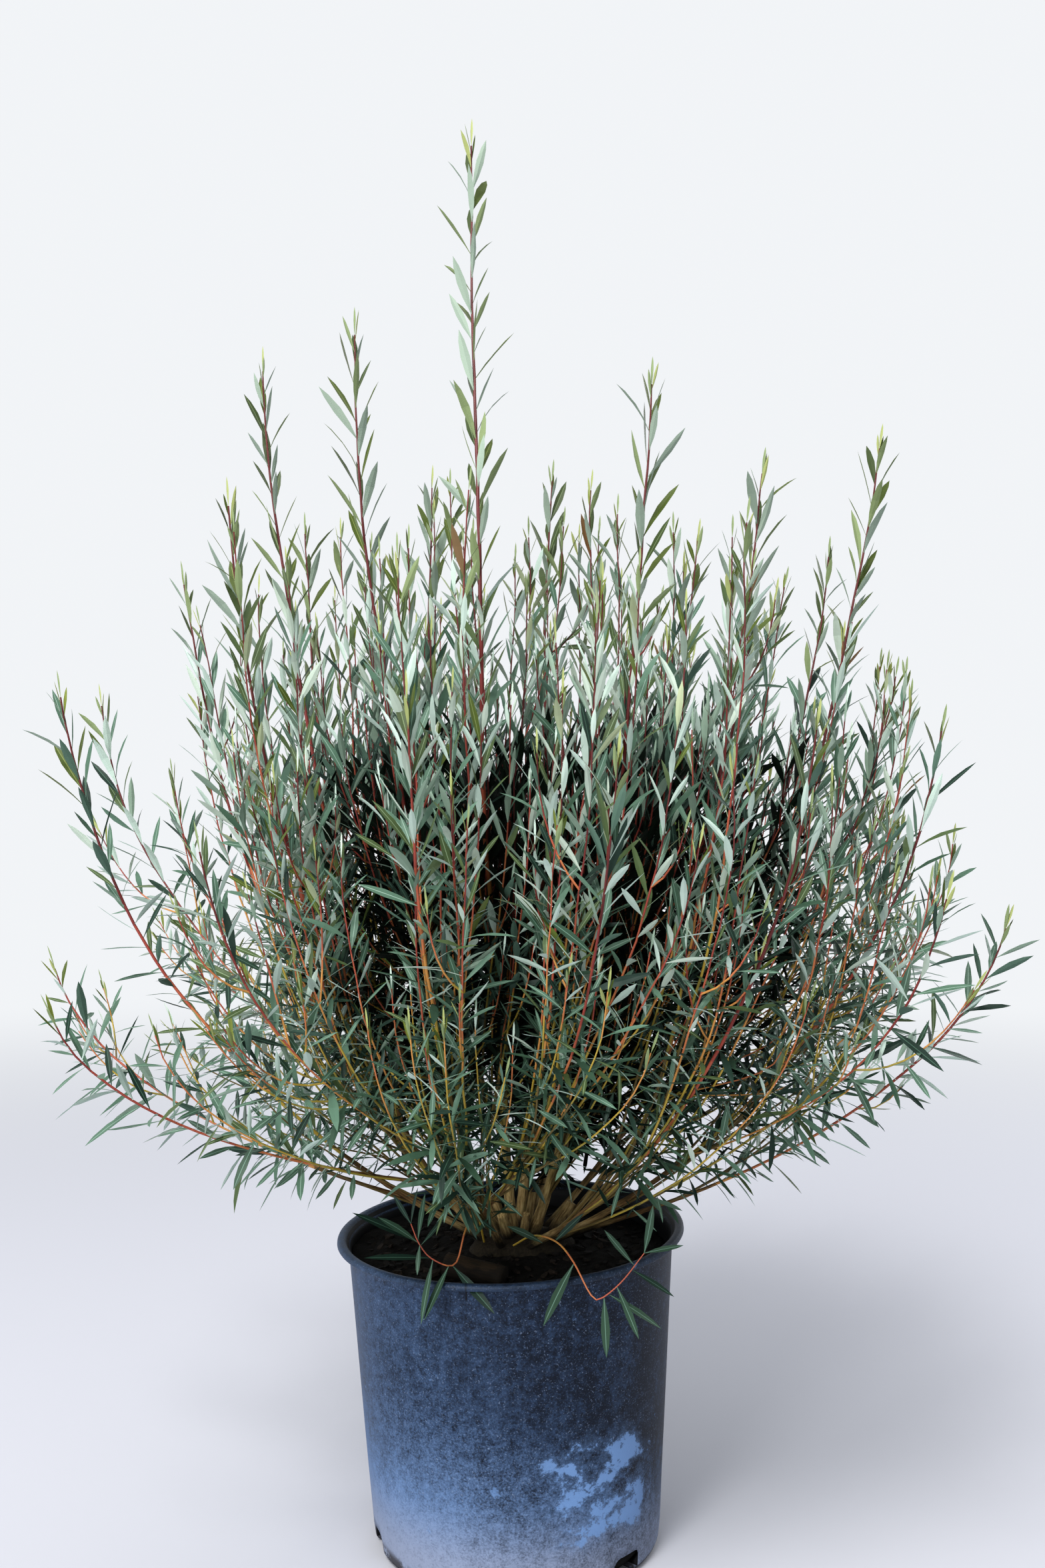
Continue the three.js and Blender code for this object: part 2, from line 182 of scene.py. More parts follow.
class Graph:
    def __init__(self, tree):
        self.tree = tree

    def node(self, kind, settings=None, inputs=None, output=0):
        made = self.tree.nodes.new(kind)
        for name, value in (settings or {}).items():
            if name == "stops":
                self.setStops(made.color_ramp, value)
            else:
                setattr(made, name, value)
        pairs = inputs.items() if isinstance(inputs, dict) else enumerate(inputs or [])
        for key, value in pairs:
            self.join(made.inputs[key], value)
        return Wire(self, made.outputs[output]) if made.outputs else made

    def join(self, socket, value):
        if isinstance(value, Wire):
            self.tree.links.new(value.socket, socket)
        elif value is not None:
            socket.default_value = value

    @staticmethod
    def setStops(ramp, stops):
        while len(ramp.elements) < len(stops):
            ramp.elements.new(0.5)
        for element, (place, colour) in zip(ramp.elements, stops):
            element.position = place
            element.color = (*colour, 1)

    def ease(self, value, low, high):
        # smoothly from 0 at low to 1 at high
        settings = {"interpolation_type": "SMOOTHSTEP"}
        return self.node("ShaderNodeMapRange", settings, {"Value": value, "From Min": low, "From Max": high})

    def blend(self, share, first, second):
        colours = [c if isinstance(c, Wire) else (*c, 1) for c in (first, second)]
        inputs = {0: share, 6: colours[0], 7: colours[1]}
        return self.node("ShaderNodeMix", {"data_type": "RGBA"}, inputs, output=2)

    def grain(self, place, scale, detail=3.0, roughness=0.55):
        inputs = {"Vector": place, "Scale": scale, "Detail": detail, "Roughness": roughness}
        return self.node("ShaderNodeTexNoise", {}, inputs)

    def stretched(self, vector, *factors):
        return self.node("ShaderNodeVectorMath", {"operation": "MULTIPLY"}, [vector, factors])

    def place(self):
        return self.node("ShaderNodeTexCoord", output="Object")

    def parts(self, vector):
        split = self.node("ShaderNodeSeparateXYZ", {}, [vector]).socket.node
        return [Wire(self, socket) for socket in split.outputs]

    def reach(self, vector):
        return self.node("ShaderNodeVectorMath", {"operation": "LENGTH"}, [vector], output="Value")

    def ramp(self, value, stops):
        return self.node("ShaderNodeValToRGB", {"stops": [(at, paint(*c)) for at, c in stops]}, [value])

    def bump(self, shader, height, strength, distance):
        made = self.node("ShaderNodeBump", {}, {"Strength": strength, "Distance": distance, "Height": height})
        self.join(shader.inputs["Normal"], made)

    def named(self, kind, name):
        return self.node("GeometryNodeInputNamedAttribute", {"data_type": kind}, {"Name": name})

    def chance(self, low, high, seed):
        # a random value for each item, a vector where low and high are vectors
        kind, first, output = ("FLOAT_VECTOR", 0, 0) if isinstance(low, tuple) else ("FLOAT", 2, 1)
        inputs = {first: low, first + 1: high, "Seed": seed}
        return self.node("FunctionNodeRandomValue", {"data_type": kind}, inputs, output)

    def scatter(self, points, collection, inputs):
        # copies of a collection's objects on points, one picked for each
        shapes = self.node("GeometryNodeCollectionInfo", {}, {0: collection, 1: True, 2: True})
        inputs = {"Points": points, "Instance": shapes, "Pick Instance": True, **inputs}
        return self.node("GeometryNodeInstanceOnPoints", {}, inputs)

    def realize(self, geometry):
        return self.node("GeometryNodeRealizeInstances", {}, [geometry])

    def dressed(self, geometry, material, chosen=None):
        inputs = {"Geometry": geometry, "Selection": chosen, "Material": material}
        return self.node("GeometryNodeSetMaterial", {}, inputs)

    def both(self, first, second):
        return self.node("FunctionNodeBooleanMath", {"operation": "AND"}, [first, second])


def newMaterial(name, roughness=0.6, specular=0.5):
    material = bpy.data.materials.new(name)
    material.use_nodes = True
    graph = Graph(material.node_tree)
    shader = material.node_tree.nodes["Principled BSDF"]
    shader.inputs["Roughness"].default_value = roughness
    shader.inputs["Specular IOR Level"].default_value = specular
    return material, graph, shader


def reader(graph, look):
    # short forms for a material's changes and its colours, by their names in the look
    return lambda value, name: graph.ease(value, *look[name]), lambda name: paint(*look[name])


def weighed(wires, shares):
    total = wires[0] * shares[0]
    for wire, share in zip(wires[1:], shares[1:]):
        total = total + wire * share
    return total


def plainMaterial(name, colour, roughness=0.5, specular=0.45):
    material, _, shader = newMaterial(name, roughness, specular)
    shader.inputs["Base Color"].default_value = (*colour, 1)
    return material


# Meshes

def band(low, high, count, level=False):
    # the quads between two rings of points, from their first numbers; level ones widen and face up
    quads = [(low + i, low + (i + 1) % count, high + (i + 1) % count, high + i) for i in range(count)]
    return [(a, d, c, b) for a, b, c, d in quads] if level else quads


def bands(firsts, count, level=False):
    # the same between each ring of a row and the next
    return [face for low, high in zip(firsts, firsts[1:]) for face in band(low, high, count, level)]


def fan(first, count, tip, upper=True):
    # the triangles between a ring and a point over or under it
    pairs = [(first + i, first + (i + 1) % count) for i in range(count)]
    return [(a, b, tip) if upper else (b, a, tip) for a, b in pairs]


def newPiece(name, data):
    piece = bpy.data.objects.new(name, data)
    bpy.context.scene.collection.objects.link(piece)
    return piece


def meshPiece(name, points, faces, *materials):
    mesh = bpy.data.meshes.new(name)
    mesh.from_pydata(points, [], faces)
    for material in materials:
        mesh.materials.append(material)
    mesh.polygons.foreach_set("use_smooth", [True] * len(mesh.polygons))
    mesh.update()
    return newPiece(name, mesh)


def setValues(mesh, name, kind, values, domain="POINT"):
    layer = mesh.attributes.new(name, kind, domain)
    if kind == "FLOAT_VECTOR":
        layer.data.foreach_set("vector", [c for v in values for c in v])
    else:
        layer.data.foreach_set("value", values)


def newTree(name, inputs):
    tree = bpy.data.node_groups.new(name, "GeometryNodeTree")
    tree.interface.new_socket("Geometry", in_out="INPUT", socket_type="NodeSocketGeometry")
    for label, (kind, value) in inputs.items():
        socket = tree.interface.new_socket(label, in_out="INPUT", socket_type=kind)
        if value is not None:
            socket.default_value = value
    tree.interface.new_socket("Geometry", in_out="OUTPUT", socket_type="NodeSocketGeometry")
    graph = Graph(tree)
    start = tree.nodes.new("NodeGroupInput")
    given = {s.name: Wire(graph, s) for s in start.outputs if s.name}
    return tree, graph, given


def endTree(graph, geometry):
    finish = graph.tree.nodes.new("NodeGroupOutput")
    graph.join(finish.inputs[0], geometry)


def baked(piece):
    # the mesh that a piece's modifiers make
    depsgraph = bpy.context.evaluated_depsgraph_get()
    mesh = bpy.data.meshes.new_from_object(piece.evaluated_get(depsgraph))
    piece.modifiers.clear()
    return mesh


def grow(source, tree, values, name):
    # runs a tree on an object and keeps the result as a plain mesh
    modifier = source.modifiers.new("grow", "NODES")
    modifier.node_group = tree
    for item in tree.interface.items_tree:
        if item.in_out == "INPUT" and item.name in values:
            modifier[item.identifier] = values[item.name]
    mesh = baked(source)
    bpy.data.objects.remove(source)
    mesh.name = name
    return newPiece(name, mesh)


def clearShapes(shapes):
    for shape in list(shapes.objects):
        bpy.data.objects.remove(shape)


def rideAndReplace(piece, nodes):
    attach(piece, "root")
    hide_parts(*nodes)


# The can

potSpec = {
    "height": 0.358,
    "lipRadius": 0.203,
    "lipHeight": 0.007,
    "lipInside": 0.194,  # inner edge of the lip's flat top, from where it slopes down to the wall
    "bodyTopRadius": 0.190,
    "baseRadius": 0.166,
    "baseCorner": 0.012,
    "wall": 0.003,
    "floor": 0.005,
    "tilt": 2.4,  # degrees, the right side of the rim stands higher
    "backTilt": 1.0,  # and so does its back
    "shift": -0.008,  # the rim leans to the left of the base
    "sides": 160,
    "drains": 6,
    "drainWidth": 0.044,
    "drainHeight": 0.029,
    "drainCorner": 0.010,
    "drainReach": 0.03,
    "drainTurn": -43,
    "dent": 0.0011,  # how far the wall waves in and out
    "underside": ((0.0, 0.0012), (0.05, 0.0012), (0.06, 0.0)),
    "wallRows": 26,
    "insideRows": 10,
    # the lip, from the fillet under it over its rounded face to its inner edge: radius and level that each
    # point starts from, with the steps from there in mm
    "lipSteps": (
        ("body", -0.3, "bottom", -1.2), ("body", 1.2, "bottom", 0), ("lip", -2.2, "bottom", 0),
        ("lip", -0.8, "bottom", 0.4), ("lip", 0, "bottom", 1.6), ("lip", -0.3, "top", -2.8),
        ("lip", -1.1, "top", -1.0), ("lip", -2.8, "top", -0.2), ("lip", -5, "top", 0),
        ("inside", 1.5, "top", 0), ("inside", -0.4, "top", -0.8), ("inside", -1.6, "top", -2.8),
        ("body", -1.6, "top", -9.0), ("body", -2.9, "top", -12.5)),
}


def wallRadius(z):
    spec = potSpec
    return spec["baseRadius"] + (spec["bodyTopRadius"] - spec["baseRadius"]) * z / (
        spec["height"] - spec["lipHeight"])


def rimLift(x, y):
    # how much higher than its middle the leaning rim is over a point
    return x * math.tan(math.radians(potSpec["tilt"])) + y * math.tan(math.radians(potSpec["backTilt"]))


def leanPot(x, y, z):
    share = z / potSpec["height"]
    return Vector((x + potSpec["shift"] * share, y, z + share * rimLift(x, y)))


def potProfile():
    # from the middle of the underside over the lip to the middle of the floor inside, as (radius, level)
    spec = potSpec
    base, corner, wall = spec["baseRadius"], spec["baseCorner"], spec["wall"]
    body, lip, inside = spec["bodyTopRadius"], spec["lipRadius"], spec["lipInside"]
    top, bottom = spec["height"], spec["height"] - spec["lipHeight"]
    points = list(spec["underside"])
    for step in range(7):
        bend = polar(90 * step / 6, corner, 0)
        points.append((base - corner + bend.y, corner - bend.x))
    for row in range(1, spec["wallRows"]):
        z = mix(corner, bottom - 0.0015, row / spec["wallRows"])
        points.append((wallRadius(z), z))
    edges = {"body": body, "lip": lip, "inside": inside, "top": top, "bottom": bottom}
    points += [(edges[a] + x * mm, edges[b] + y * mm) for a, x, b, y in spec["lipSteps"]]
    for row in range(spec["insideRows"]):
        z = mix(top - 0.018, 0.020, row / (spec["insideRows"] - 1))
        points.append((wallRadius(z) - wall - 0.0003, z))
    floor = spec["floor"]
    return points + [(base - wall - corner * 0.7, floor + 0.0018), (0.12, floor), (0.0, floor)]


def makePot():
    spec = potSpec
    sides = spec["sides"]
    profile = potProfile()
    points, faces, firsts = [], [], []
    for radius, z in profile:
        firsts.append(len(points))
        for turn in turnsRound(sides) if radius else [0.0]:
            wave = noise.noise(around(turn, 1.6, z * 5))
            place = around(turn, radius + spec["dent"] * wave * smooth(z, 0.02, 0.1), z)
            points.append(leanPot(*place))
    for row, (low, high) in enumerate(zip(firsts, firsts[1:])):
        if profile[row][0] == 0:
            faces += fan(high, sides, low, False)
        elif profile[row + 1][0] == 0:
            faces += fan(low, sides, high)
        else:
            faces += band(low, high, sides)
    pot = meshPiece("can", points, faces, potMaterial())
    cutDrains(pot)
    return pot


def cutDrains(pot):
    spec = potSpec
    half, top, corner = spec["drainWidth"] / 2, spec["drainHeight"], spec["drainCorner"]
    outline = [(-half, -corner), (half, -corner)]
    for middle, start in ((half - corner, 0), (corner - half, 90)):
        for step in range(5):
            bend = polar(start + 22.5 * step, corner, 0)
            outline.append((middle + bend.x, top - corner + bend.y))
    count = len(outline)
    points, faces = [], []
    for drain in range(spec["drains"]):
        out = polar(spec["drainTurn"] + 360 / spec["drains"] * drain, 1, 0)
        across = Vector((-out.y, out.x, 0))
        first = len(points)
        for reach in (-spec["drainReach"], spec["drainReach"]):
            points += [out * (spec["baseRadius"] + reach) + across * x + up * z for x, z in outline]
        faces.append(list(range(first, first + count))[::-1])
        faces.append(list(range(first + count, first + 2 * count)))
        faces += band(first, first + count, count)
    cutter = meshPiece("drainCutter", points, faces)
    modifier = pot.modifiers.new("drains", "BOOLEAN")
    modifier.operation = "DIFFERENCE"
    modifier.solver = "EXACT"
    modifier.object = cutter
    pot.data = baked(pot)
    bpy.data.objects.remove(cutter)


# the can's colours, and where each change begins and ends: in metres, or as the value of a noise
potLook = {
    "dark": (13, 21, 35),
    "lit": (45, 62, 87),
    "mottle": (0.40, 0.60),
    "mottleShares": (0.13, 0.27, 0.34, 0.26, 0.12),  # of streaks, cloud, coarse grain, specks, and painted light on the left side
    # across which the painted light fades from the left side of the can to its right
    "rightward": (-0.17, 0.16),
    "bloomTop": (-0.02, 0.255),  # a pale mineral bloom grows towards the foot
    # shares of height, cloud, streaks, painted light on the left side, specks and coarse grain
    "bloomShares": (0.92, 0.45, 0.25, 0.5, 0.9, 0.6),
    "bloomEdge": (0.06, 1.12),
    "bloomFoot": (0.02, 0.12),
    "bloomLow": (136, 145, 166),
    "bloomHigh": (104, 130, 168),
    "fleckEdge": (0.58, 0.72),
    "fleck": (136, 152, 178),
    "seamPlace": 0.0535,  # the seam of the mould is this far left of the front, with a notch under the lip
    "seamEdge": (0.0004, 0.0016),
    "seamRise": (0.19, 0.26),
    "notchRise": (0.336, 0.339),
    "seam": (12, 15, 22),
    "patchLeft": (-0.010, 0.070),
    "patchRight": (0.128, 0.154),
    "patchFoot": (0.035, 0.08),
    "patchTop": (0.150, 0.205),
    "tornSoftly": (0.52, 0.72),
    "tornSharply": (0.652, 0.70),
    "patch": (106, 137, 180),
    # the lighter colour of the painted highlight on the lip's face
    "lip": (52, 66, 84),
    "footDarkReach": (0.010, 0.016),  # how high the darker band at the foot goes, and how much higher on the left
    "dirtLeft": (0.09, 0.14),
    "dirtEdge": (0.36, 0.48),
    "dirt": (50, 45, 42),
    # painted shade: the inside of the can turns near black, from just inside the wall and above its floor
    "insideEdge": (-0.0022, -0.0014),
    "insideFoot": (0.006, 0.007),
    "inside": (9, 11, 15),
}


def potMaterial():
    spec, look = potSpec, potLook
    material, graph, shader = newMaterial("canPlastic", roughness=0.5, specular=0.22)
    ease, tone = reader(graph, look)
    place = graph.place()
    x, y, z = graph.parts(place)
    # height on the wall and distance from the axis, as if the can stood straight
    rise, riseBack = (math.tan(math.radians(spec[key])) / spec["height"] for key in ("tilt", "backTilt"))
    level = z / (1 + x * rise + y * riseBack)
    wide = x - level * (spec["shift"] / spec["height"])
    radius = (wide * wide + y * y) ** 0.5
    front = y < 0

    cloud = graph.grain(place, 9.0, 5.0, 0.6)
    streaks = graph.grain(graph.stretched(place, 70.0, 70.0, 6.0), 1.0, 4.0, 0.6)
    speck = graph.grain(place, 420.0, 2.0, 0.7)
    coarse = graph.grain(place, 95.0, 4.0, 0.7)
    flecks = graph.grain(graph.stretched(place, 560.0, 560.0, 520.0), 1.0, 3.0, 0.65)
    tears = graph.grain(graph.stretched(place, 1.0, 1.0, 1.25), 24.0, 8.0, 0.7)
    footBlotches = graph.grain(place, 60.0, 5.0, 0.7)

    # painted light: the left side of the can is lighter, as if lit from the left; it lightens the mottle and
    # spreads the pale bloom further up
    paintedLeftLight = 1 - ease(x, "rightward")
    mottle = weighed([streaks, cloud, coarse, speck, paintedLeftLight - 0.5], look["mottleShares"])
    colour = graph.blend(ease(mottle, "mottle"), tone("dark"), tone("lit"))
    bloom = weighed([1 - ease(level, "bloomTop"), cloud - 0.5, streaks - 0.5, paintedLeftLight - 0.55, speck - 0.5,
                     coarse - 0.5], look["bloomShares"])
    haze = ease(bloom, "bloomEdge")
    pale = graph.blend(ease(level, "bloomFoot"), tone("bloomLow"), tone("bloomHigh"))
    colour = graph.blend(haze * 0.92, colour, pale)

    onSeam = 1 - ease((x + look["seamPlace"]).maths("ABSOLUTE"), "seamEdge")
    seam = onSeam * front * ease(level, "seamRise") * (0.2 + 0.75 * ease(level, "notchRise"))
    patchPlace = ease(x, "patchLeft") * (1 - ease(x, "patchRight"))
    patchPlace = patchPlace * ease(level, "patchFoot") * (1 - ease(level, "patchTop")) * front
    torn = tears + patchPlace * 0.18
    patches = ease(torn, "tornSoftly") * 0.35 * patchPlace + ease(torn, "tornSharply") * 0.55
    lipBottom = spec["height"] - spec["lipHeight"]
    # painted highlight: the face of the lip is lightened a little towards the lip colour
    paintedLipLight = graph.ease(level, lipBottom - 0.001, lipBottom)
    # darker towards the bottom, in blotches, reaching higher on the left
    footDarkTop = look["footDarkReach"][0] + look["footDarkReach"][1] * ease(-1 * x, "dirtLeft")
    dirt = (1 - graph.ease(level / footDarkTop, 0.5, 1.0)) * ease(footBlotches, "dirtEdge")
    # painted shade inside the can: near black inside the wall, from the floor up
    wall = spec["baseRadius"] + level * ((spec["bodyTopRadius"] - spec["baseRadius"]) / lipBottom)
    wall = wall + graph.ease(level, lipBottom - 0.0005, lipBottom + 0.0005) * 0.0036
    inside = (1 - ease(radius - wall, "insideEdge")) * ease(level, "insideFoot")
    layers = [(ease(flecks, "fleckEdge") * 0.5, "fleck"), (seam, "seam"), (patches, "patch"),
              (paintedLipLight * 0.3, "lip"), (dirt * 0.85, "dirt"), (inside, "inside")]
    for share, name in layers:
        colour = graph.blend(share, colour, tone(name))
    graph.join(shader.inputs["Base Color"], colour)
    graph.join(shader.inputs["Roughness"], 0.46 + haze * 0.3 + dirt * 0.2)
    graph.bump(shader, coarse + flecks * 0.6, 0.25, 0.0006)
    return material


# The potting mix

soilSpec = {
    "top": 0.335,
    "relief": 0.0075,
    "lumps": ((22, 0.6), (60, 0.3), (170, 0.25)),  # how fine, and how strong
    "mound": 0.006,  # higher round the stool, from the first radius to the second
    "moundRadius": (0.05, 0.14),
    "drop": 0.002,
    "rings": 34,
    "sides": 96,
    "gap": 0.0012,
    "wallRings": ((0.2, 0), (0.1, 0), (0.022, 0), (0.0062, 0.012)),  # level, and how far inside the wall
    # dark colours of the mix, darkened further as painted shade under the crown
    "stops": ((0.30, (7, 6, 5)), (0.52, (12, 10, 8)), (0.66, (22, 18, 15)), (0.78, (46, 38, 31))),
}

chipSpec = {
    "seed": 7,
    "density": 5200.0,  # per square metre
    "size": 0.014,
    "sizes": (0.3, 1.25),  # times the size
    "shapes": 4,
    "corners": 7,
    "width": (0.35, 0.7),  # of the length
    "thick": (0.12, 0.24),
    # dark browns of the chips, darkened further as painted shade under the crown
    "browns": ((16, 13, 11), (25, 21, 17), (40, 33, 27), (11, 10, 8)),
    "ground": (0.03, 0.172),  # where they lie, from the axis outwards
    "groundLift": 0.001,
    "groundRings": 12,
    "groundSides": 40,
}


def soilMaterial():
    material, graph, shader = newMaterial("pottingMix", roughness=0.95, specular=0.2)
    crumbs = graph.grain(graph.place(), 260.0, 6.0, 0.75)
    graph.join(shader.inputs["Base Color"], graph.ramp(crumbs, soilSpec["stops"]))
    graph.bump(shader, crumbs, 0.9, 0.003)
    return material


def soilHeight(x, y):
    spec = soilSpec
    lumps = sum(noise.noise(Vector((x, y, 0)) * fine) * strong for fine, strong in spec["lumps"])
    mound = spec["mound"] * (1 - smooth(math.hypot(x, y), *spec["moundRadius"]))
    return spec["top"] + spec["relief"] * lumps + mound - spec["drop"]


def soilEdge(turn, z):
    # the inside of the leaning wall at one level
    lift = rimLift(wallRadius(z) * math.cos(turn), wallRadius(z) * math.sin(turn))
    onWall = z / (1 + lift / potSpec["height"])
    return wallRadius(onWall) - potSpec["wall"] - soilSpec["gap"]


def makeSoil():
    spec = soilSpec
    shift = potSpec["shift"] / potSpec["height"]
    sides, rings, top = spec["sides"], spec["rings"], spec["top"]
    points = [Vector((shift * top, 0, soilHeight(0, 0)))]
    rows = [(top, (ring + 1) / rings, 0) for ring in range(rings)]
    rows += [(z, 1, inset) for z, inset in spec["wallRings"]]
    for z, share, inset in rows:
        for turn in turnsRound(sides):
            place = around(turn, soilEdge(turn, z) * share - inset, z)
            place.x += shift * z
            if z == top:
                place.z = soilHeight(place.x, place.y)
            points.append(place)
    faces = fan(1, sides, 0) + bands(range(1, len(points), sides), sides, level=True)
    faces.append(list(range(len(points) - sides, len(points)))[::-1])
    return meshPiece("pottingMixBody", points, faces, soilMaterial())


def chipShapes():
    # slabs of bark with broken corners
    spec = chipSpec
    rng = random.Random(spec["seed"])
    shapes = bpy.data.collections.new("chipShapes")
    corners = spec["corners"]
    for number in range(spec["shapes"]):
        width, thick = rng.uniform(*spec["width"]), rng.uniform(*spec["thick"])
        points = []
        for level in (-0.5, 0.5):
            for turn in turnsRound(corners):
                place = around(turn, rng.uniform(0.38, 0.55), thick * (level + rng.uniform(-0.15, 0.15)))
                place.y *= width
                points.append(place)
        ends = [list(range(corners))[::-1], list(range(corners, 2 * corners))]
        mesh = bpy.data.meshes.new(f"chip{number}")
        mesh.from_pydata(points, [], ends + band(0, corners, corners))
        shapes.objects.link(bpy.data.objects.new(f"chip{number}", mesh))
    return shapes


def chipTree():
    spec = chipSpec
    tree, graph, given = newTree("chipTree", {
        "Chips": ("NodeSocketCollection", None),
        "Density": ("NodeSocketFloat", spec["density"]),
        "Size": ("NodeSocketFloat", spec["size"]),
        "Seed": ("NodeSocketInt", spec["seed"]),
    })
    seed = given["Seed"]
    points = graph.node("GeometryNodeDistributePointsOnFaces", {"distribute_method": "RANDOM"}, {
        "Mesh": given["Geometry"], "Density": given["Density"], "Seed": seed})
    placed = graph.scatter(points, given["Chips"], {
        "Rotation": graph.chance((-0.5, -0.5, 0.0), (0.5, 0.5, 6.28), seed),
        "Scale": graph.chance(*spec["sizes"], seed) * given["Size"]})
    marked = graph.node("GeometryNodeStoreNamedAttribute", {"data_type": "FLOAT", "domain": "INSTANCE"}, {
        "Geometry": placed, "Name": "shade", "Value": graph.chance(0.0, 1.0, 3)})
    real = graph.realize(marked)
    shade = graph.named("FLOAT", "shade")
    for number, brown in enumerate(spec["browns"]):
        chosen = shade > number / len(spec["browns"]) if number else None
        real = graph.dressed(real, barkChip(f"chip{number}", paint(*brown)), chosen)
    endTree(graph, real)
    return tree


def makeChips():
    spec = chipSpec
    sides, rings = spec["groundSides"], spec["groundRings"]
    shift = potSpec["shift"] / potSpec["height"] * soilSpec["top"]
    points = []
    for ring in range(rings + 1):
        for turn in turnsRound(sides):
            place = around(turn, mix(*spec["ground"], ring / rings))
            x, y = shift + place.x, place.y
            points.append(Vector((x, y, soilHeight(x, y) + spec["groundLift"])))
    faces = bands(range(0, len(points), sides), sides, level=True)
    shapes = chipShapes()
    chips = grow(meshPiece("chipGround", points, faces), chipTree(), {"Chips": shapes}, "barkChips")
    clearShapes(shapes)
    return chips


def barkChip(name, colour):
    material, graph, shader = newMaterial(name, roughness=0.9, specular=0.25)
    fibre = graph.grain(graph.place(), 380.0, 4.0, 0.7)
    darker = tuple(c * 0.45 for c in colour)
    graph.join(shader.inputs["Base Color"], graph.blend(graph.ease(fibre, 0.35, 0.65), darker, colour))
    return material


# Leaders: one row for each, as in the CAD model
# turn in degrees from +X, reach of the tip from the axis in mm, height in mm, then either the foot on the
# stool (turn, radius) or the leader it forks from and the share of its length where it does

leaderRows = {
    "tall_front": (253, 157, 1600, (250, 15)),
    "left_front_high": (226, 249, 1387, ("tall_front", 0.1)),
    "left_high": (184, 299, 1391, (165, 18)),
    "centre_back": (140, 140, 1277, ("left_high", 0.12)),
    "back_high": (78, 204, 1306, (80, 16)),
    "right_front_high": (305, 245, 1328, (335, 18)),
    "right_inner": (336, 294, 1252, ("right_front_high", 0.13)),
    "right_high": (357, 418, 1301, (14, 44)),
    "right_back": (32, 492, 1217, (42, 44)),
    "right_front": (338, 486, 967, (322, 44)),
    "right_low": (356, 562, 745, (348, 45)),
    "left_front": (222, 389, 1191, (213, 44)),
    "left_middle": (174, 402, 1151, (148, 44)),
    "left_back": (147, 327, 1235, ("left_middle", 0.14)),
    "far_left_front": (196, 514, 1005, (182, 44)),
    "left_low": (177, 554, 690, ("far_left_front", 0.12)),
    "left_front_low": (209, 533, 674, ("left_front", 0.12)),
    "front_left": (257, 441, 985, (246, 44)),
    "front_right": (281, 479, 930, ("front_left", 0.15)),
    "front_far_right": (303, 499, 960, (285, 44)),
    "back_left": (129, 505, 1080, (110, 44)),
    "back_right": (70, 459, 1120, (74, 44)),
    "back_middle": (102, 410, 1170, ("back_right", 0.14)),
    "right_back_inner": (30, 262, 1218, ("back_high", 0.28)),
    "far_left_back": (163, 560, 1011, ("left_middle", 0.28)),
    "right_front_low": (320, 537, 802, ("right_front", 0.27)),
    "front_left_low": (236, 512, 850, ("front_left", 0.28)),
    "right_back_low": (24, 560, 850, ("right_back", 0.26)),
    "back_low": (89, 545, 740, ("back_right", 0.27)),
    "back_left_low": (146, 556, 720, ("back_left", 0.27)),
}

# two low sprigs: the wood from point to point and each leaf from its foot to its tip, in mm
sprigRows = {
    "rim_left": {
        "stem": [(-38, -42, 352), (-46, -84, 398), (-56, -140, 394), (-66, -172, 367), (-89, -195, 380),
                 (-102, -205, 399), (-110, -210, 421)],
        "leaves": [(-102, -205, 399, -139, -222, 435), (-103, -205, 401, -169, -215, 436),
                   (-103, -206, 403, -97, -208, 452), (-100, -204, 397, -67, -192, 429),
                   (-101, -205, 398, -104, -226, 374), (-90, -196, 381, -157, -222, 392),
                   (-88, -194, 379, -101, -220, 320), (-72, -180, 368, -97, -218, 325),
                   (-68, -175, 366, -23, -214, 330), (-110, -210, 421, -128, -214, 452),
                   (-110, -210, 421, -106, -206, 458)],
    },
    "rim_right": {
        "stem": [(-4, -56, 352), (18, -100, 376), (42, -155, 386), (59, -190, 376), (76, -215, 350),
                 (86, -222, 347), (108, -226, 366), (131, -228, 396)],
        "leaves": [(60, -192, 374, 23, -225, 321), (90, -222, 349, 92, -237, 291),
                   (95, -223, 352, 151, -234, 324), (118, -227, 379, 162, -238, 356),
                   (131, -228, 396, 172, -224, 404), (131, -228, 396, 142, -228, 444),
                   (121, -227, 383, 88, -232, 422), (103, -225, 361, 126, -240, 312),
                   (40, -150, 384, 70, -168, 420), (28, -120, 374, -6, -150, 404)],
    },
}

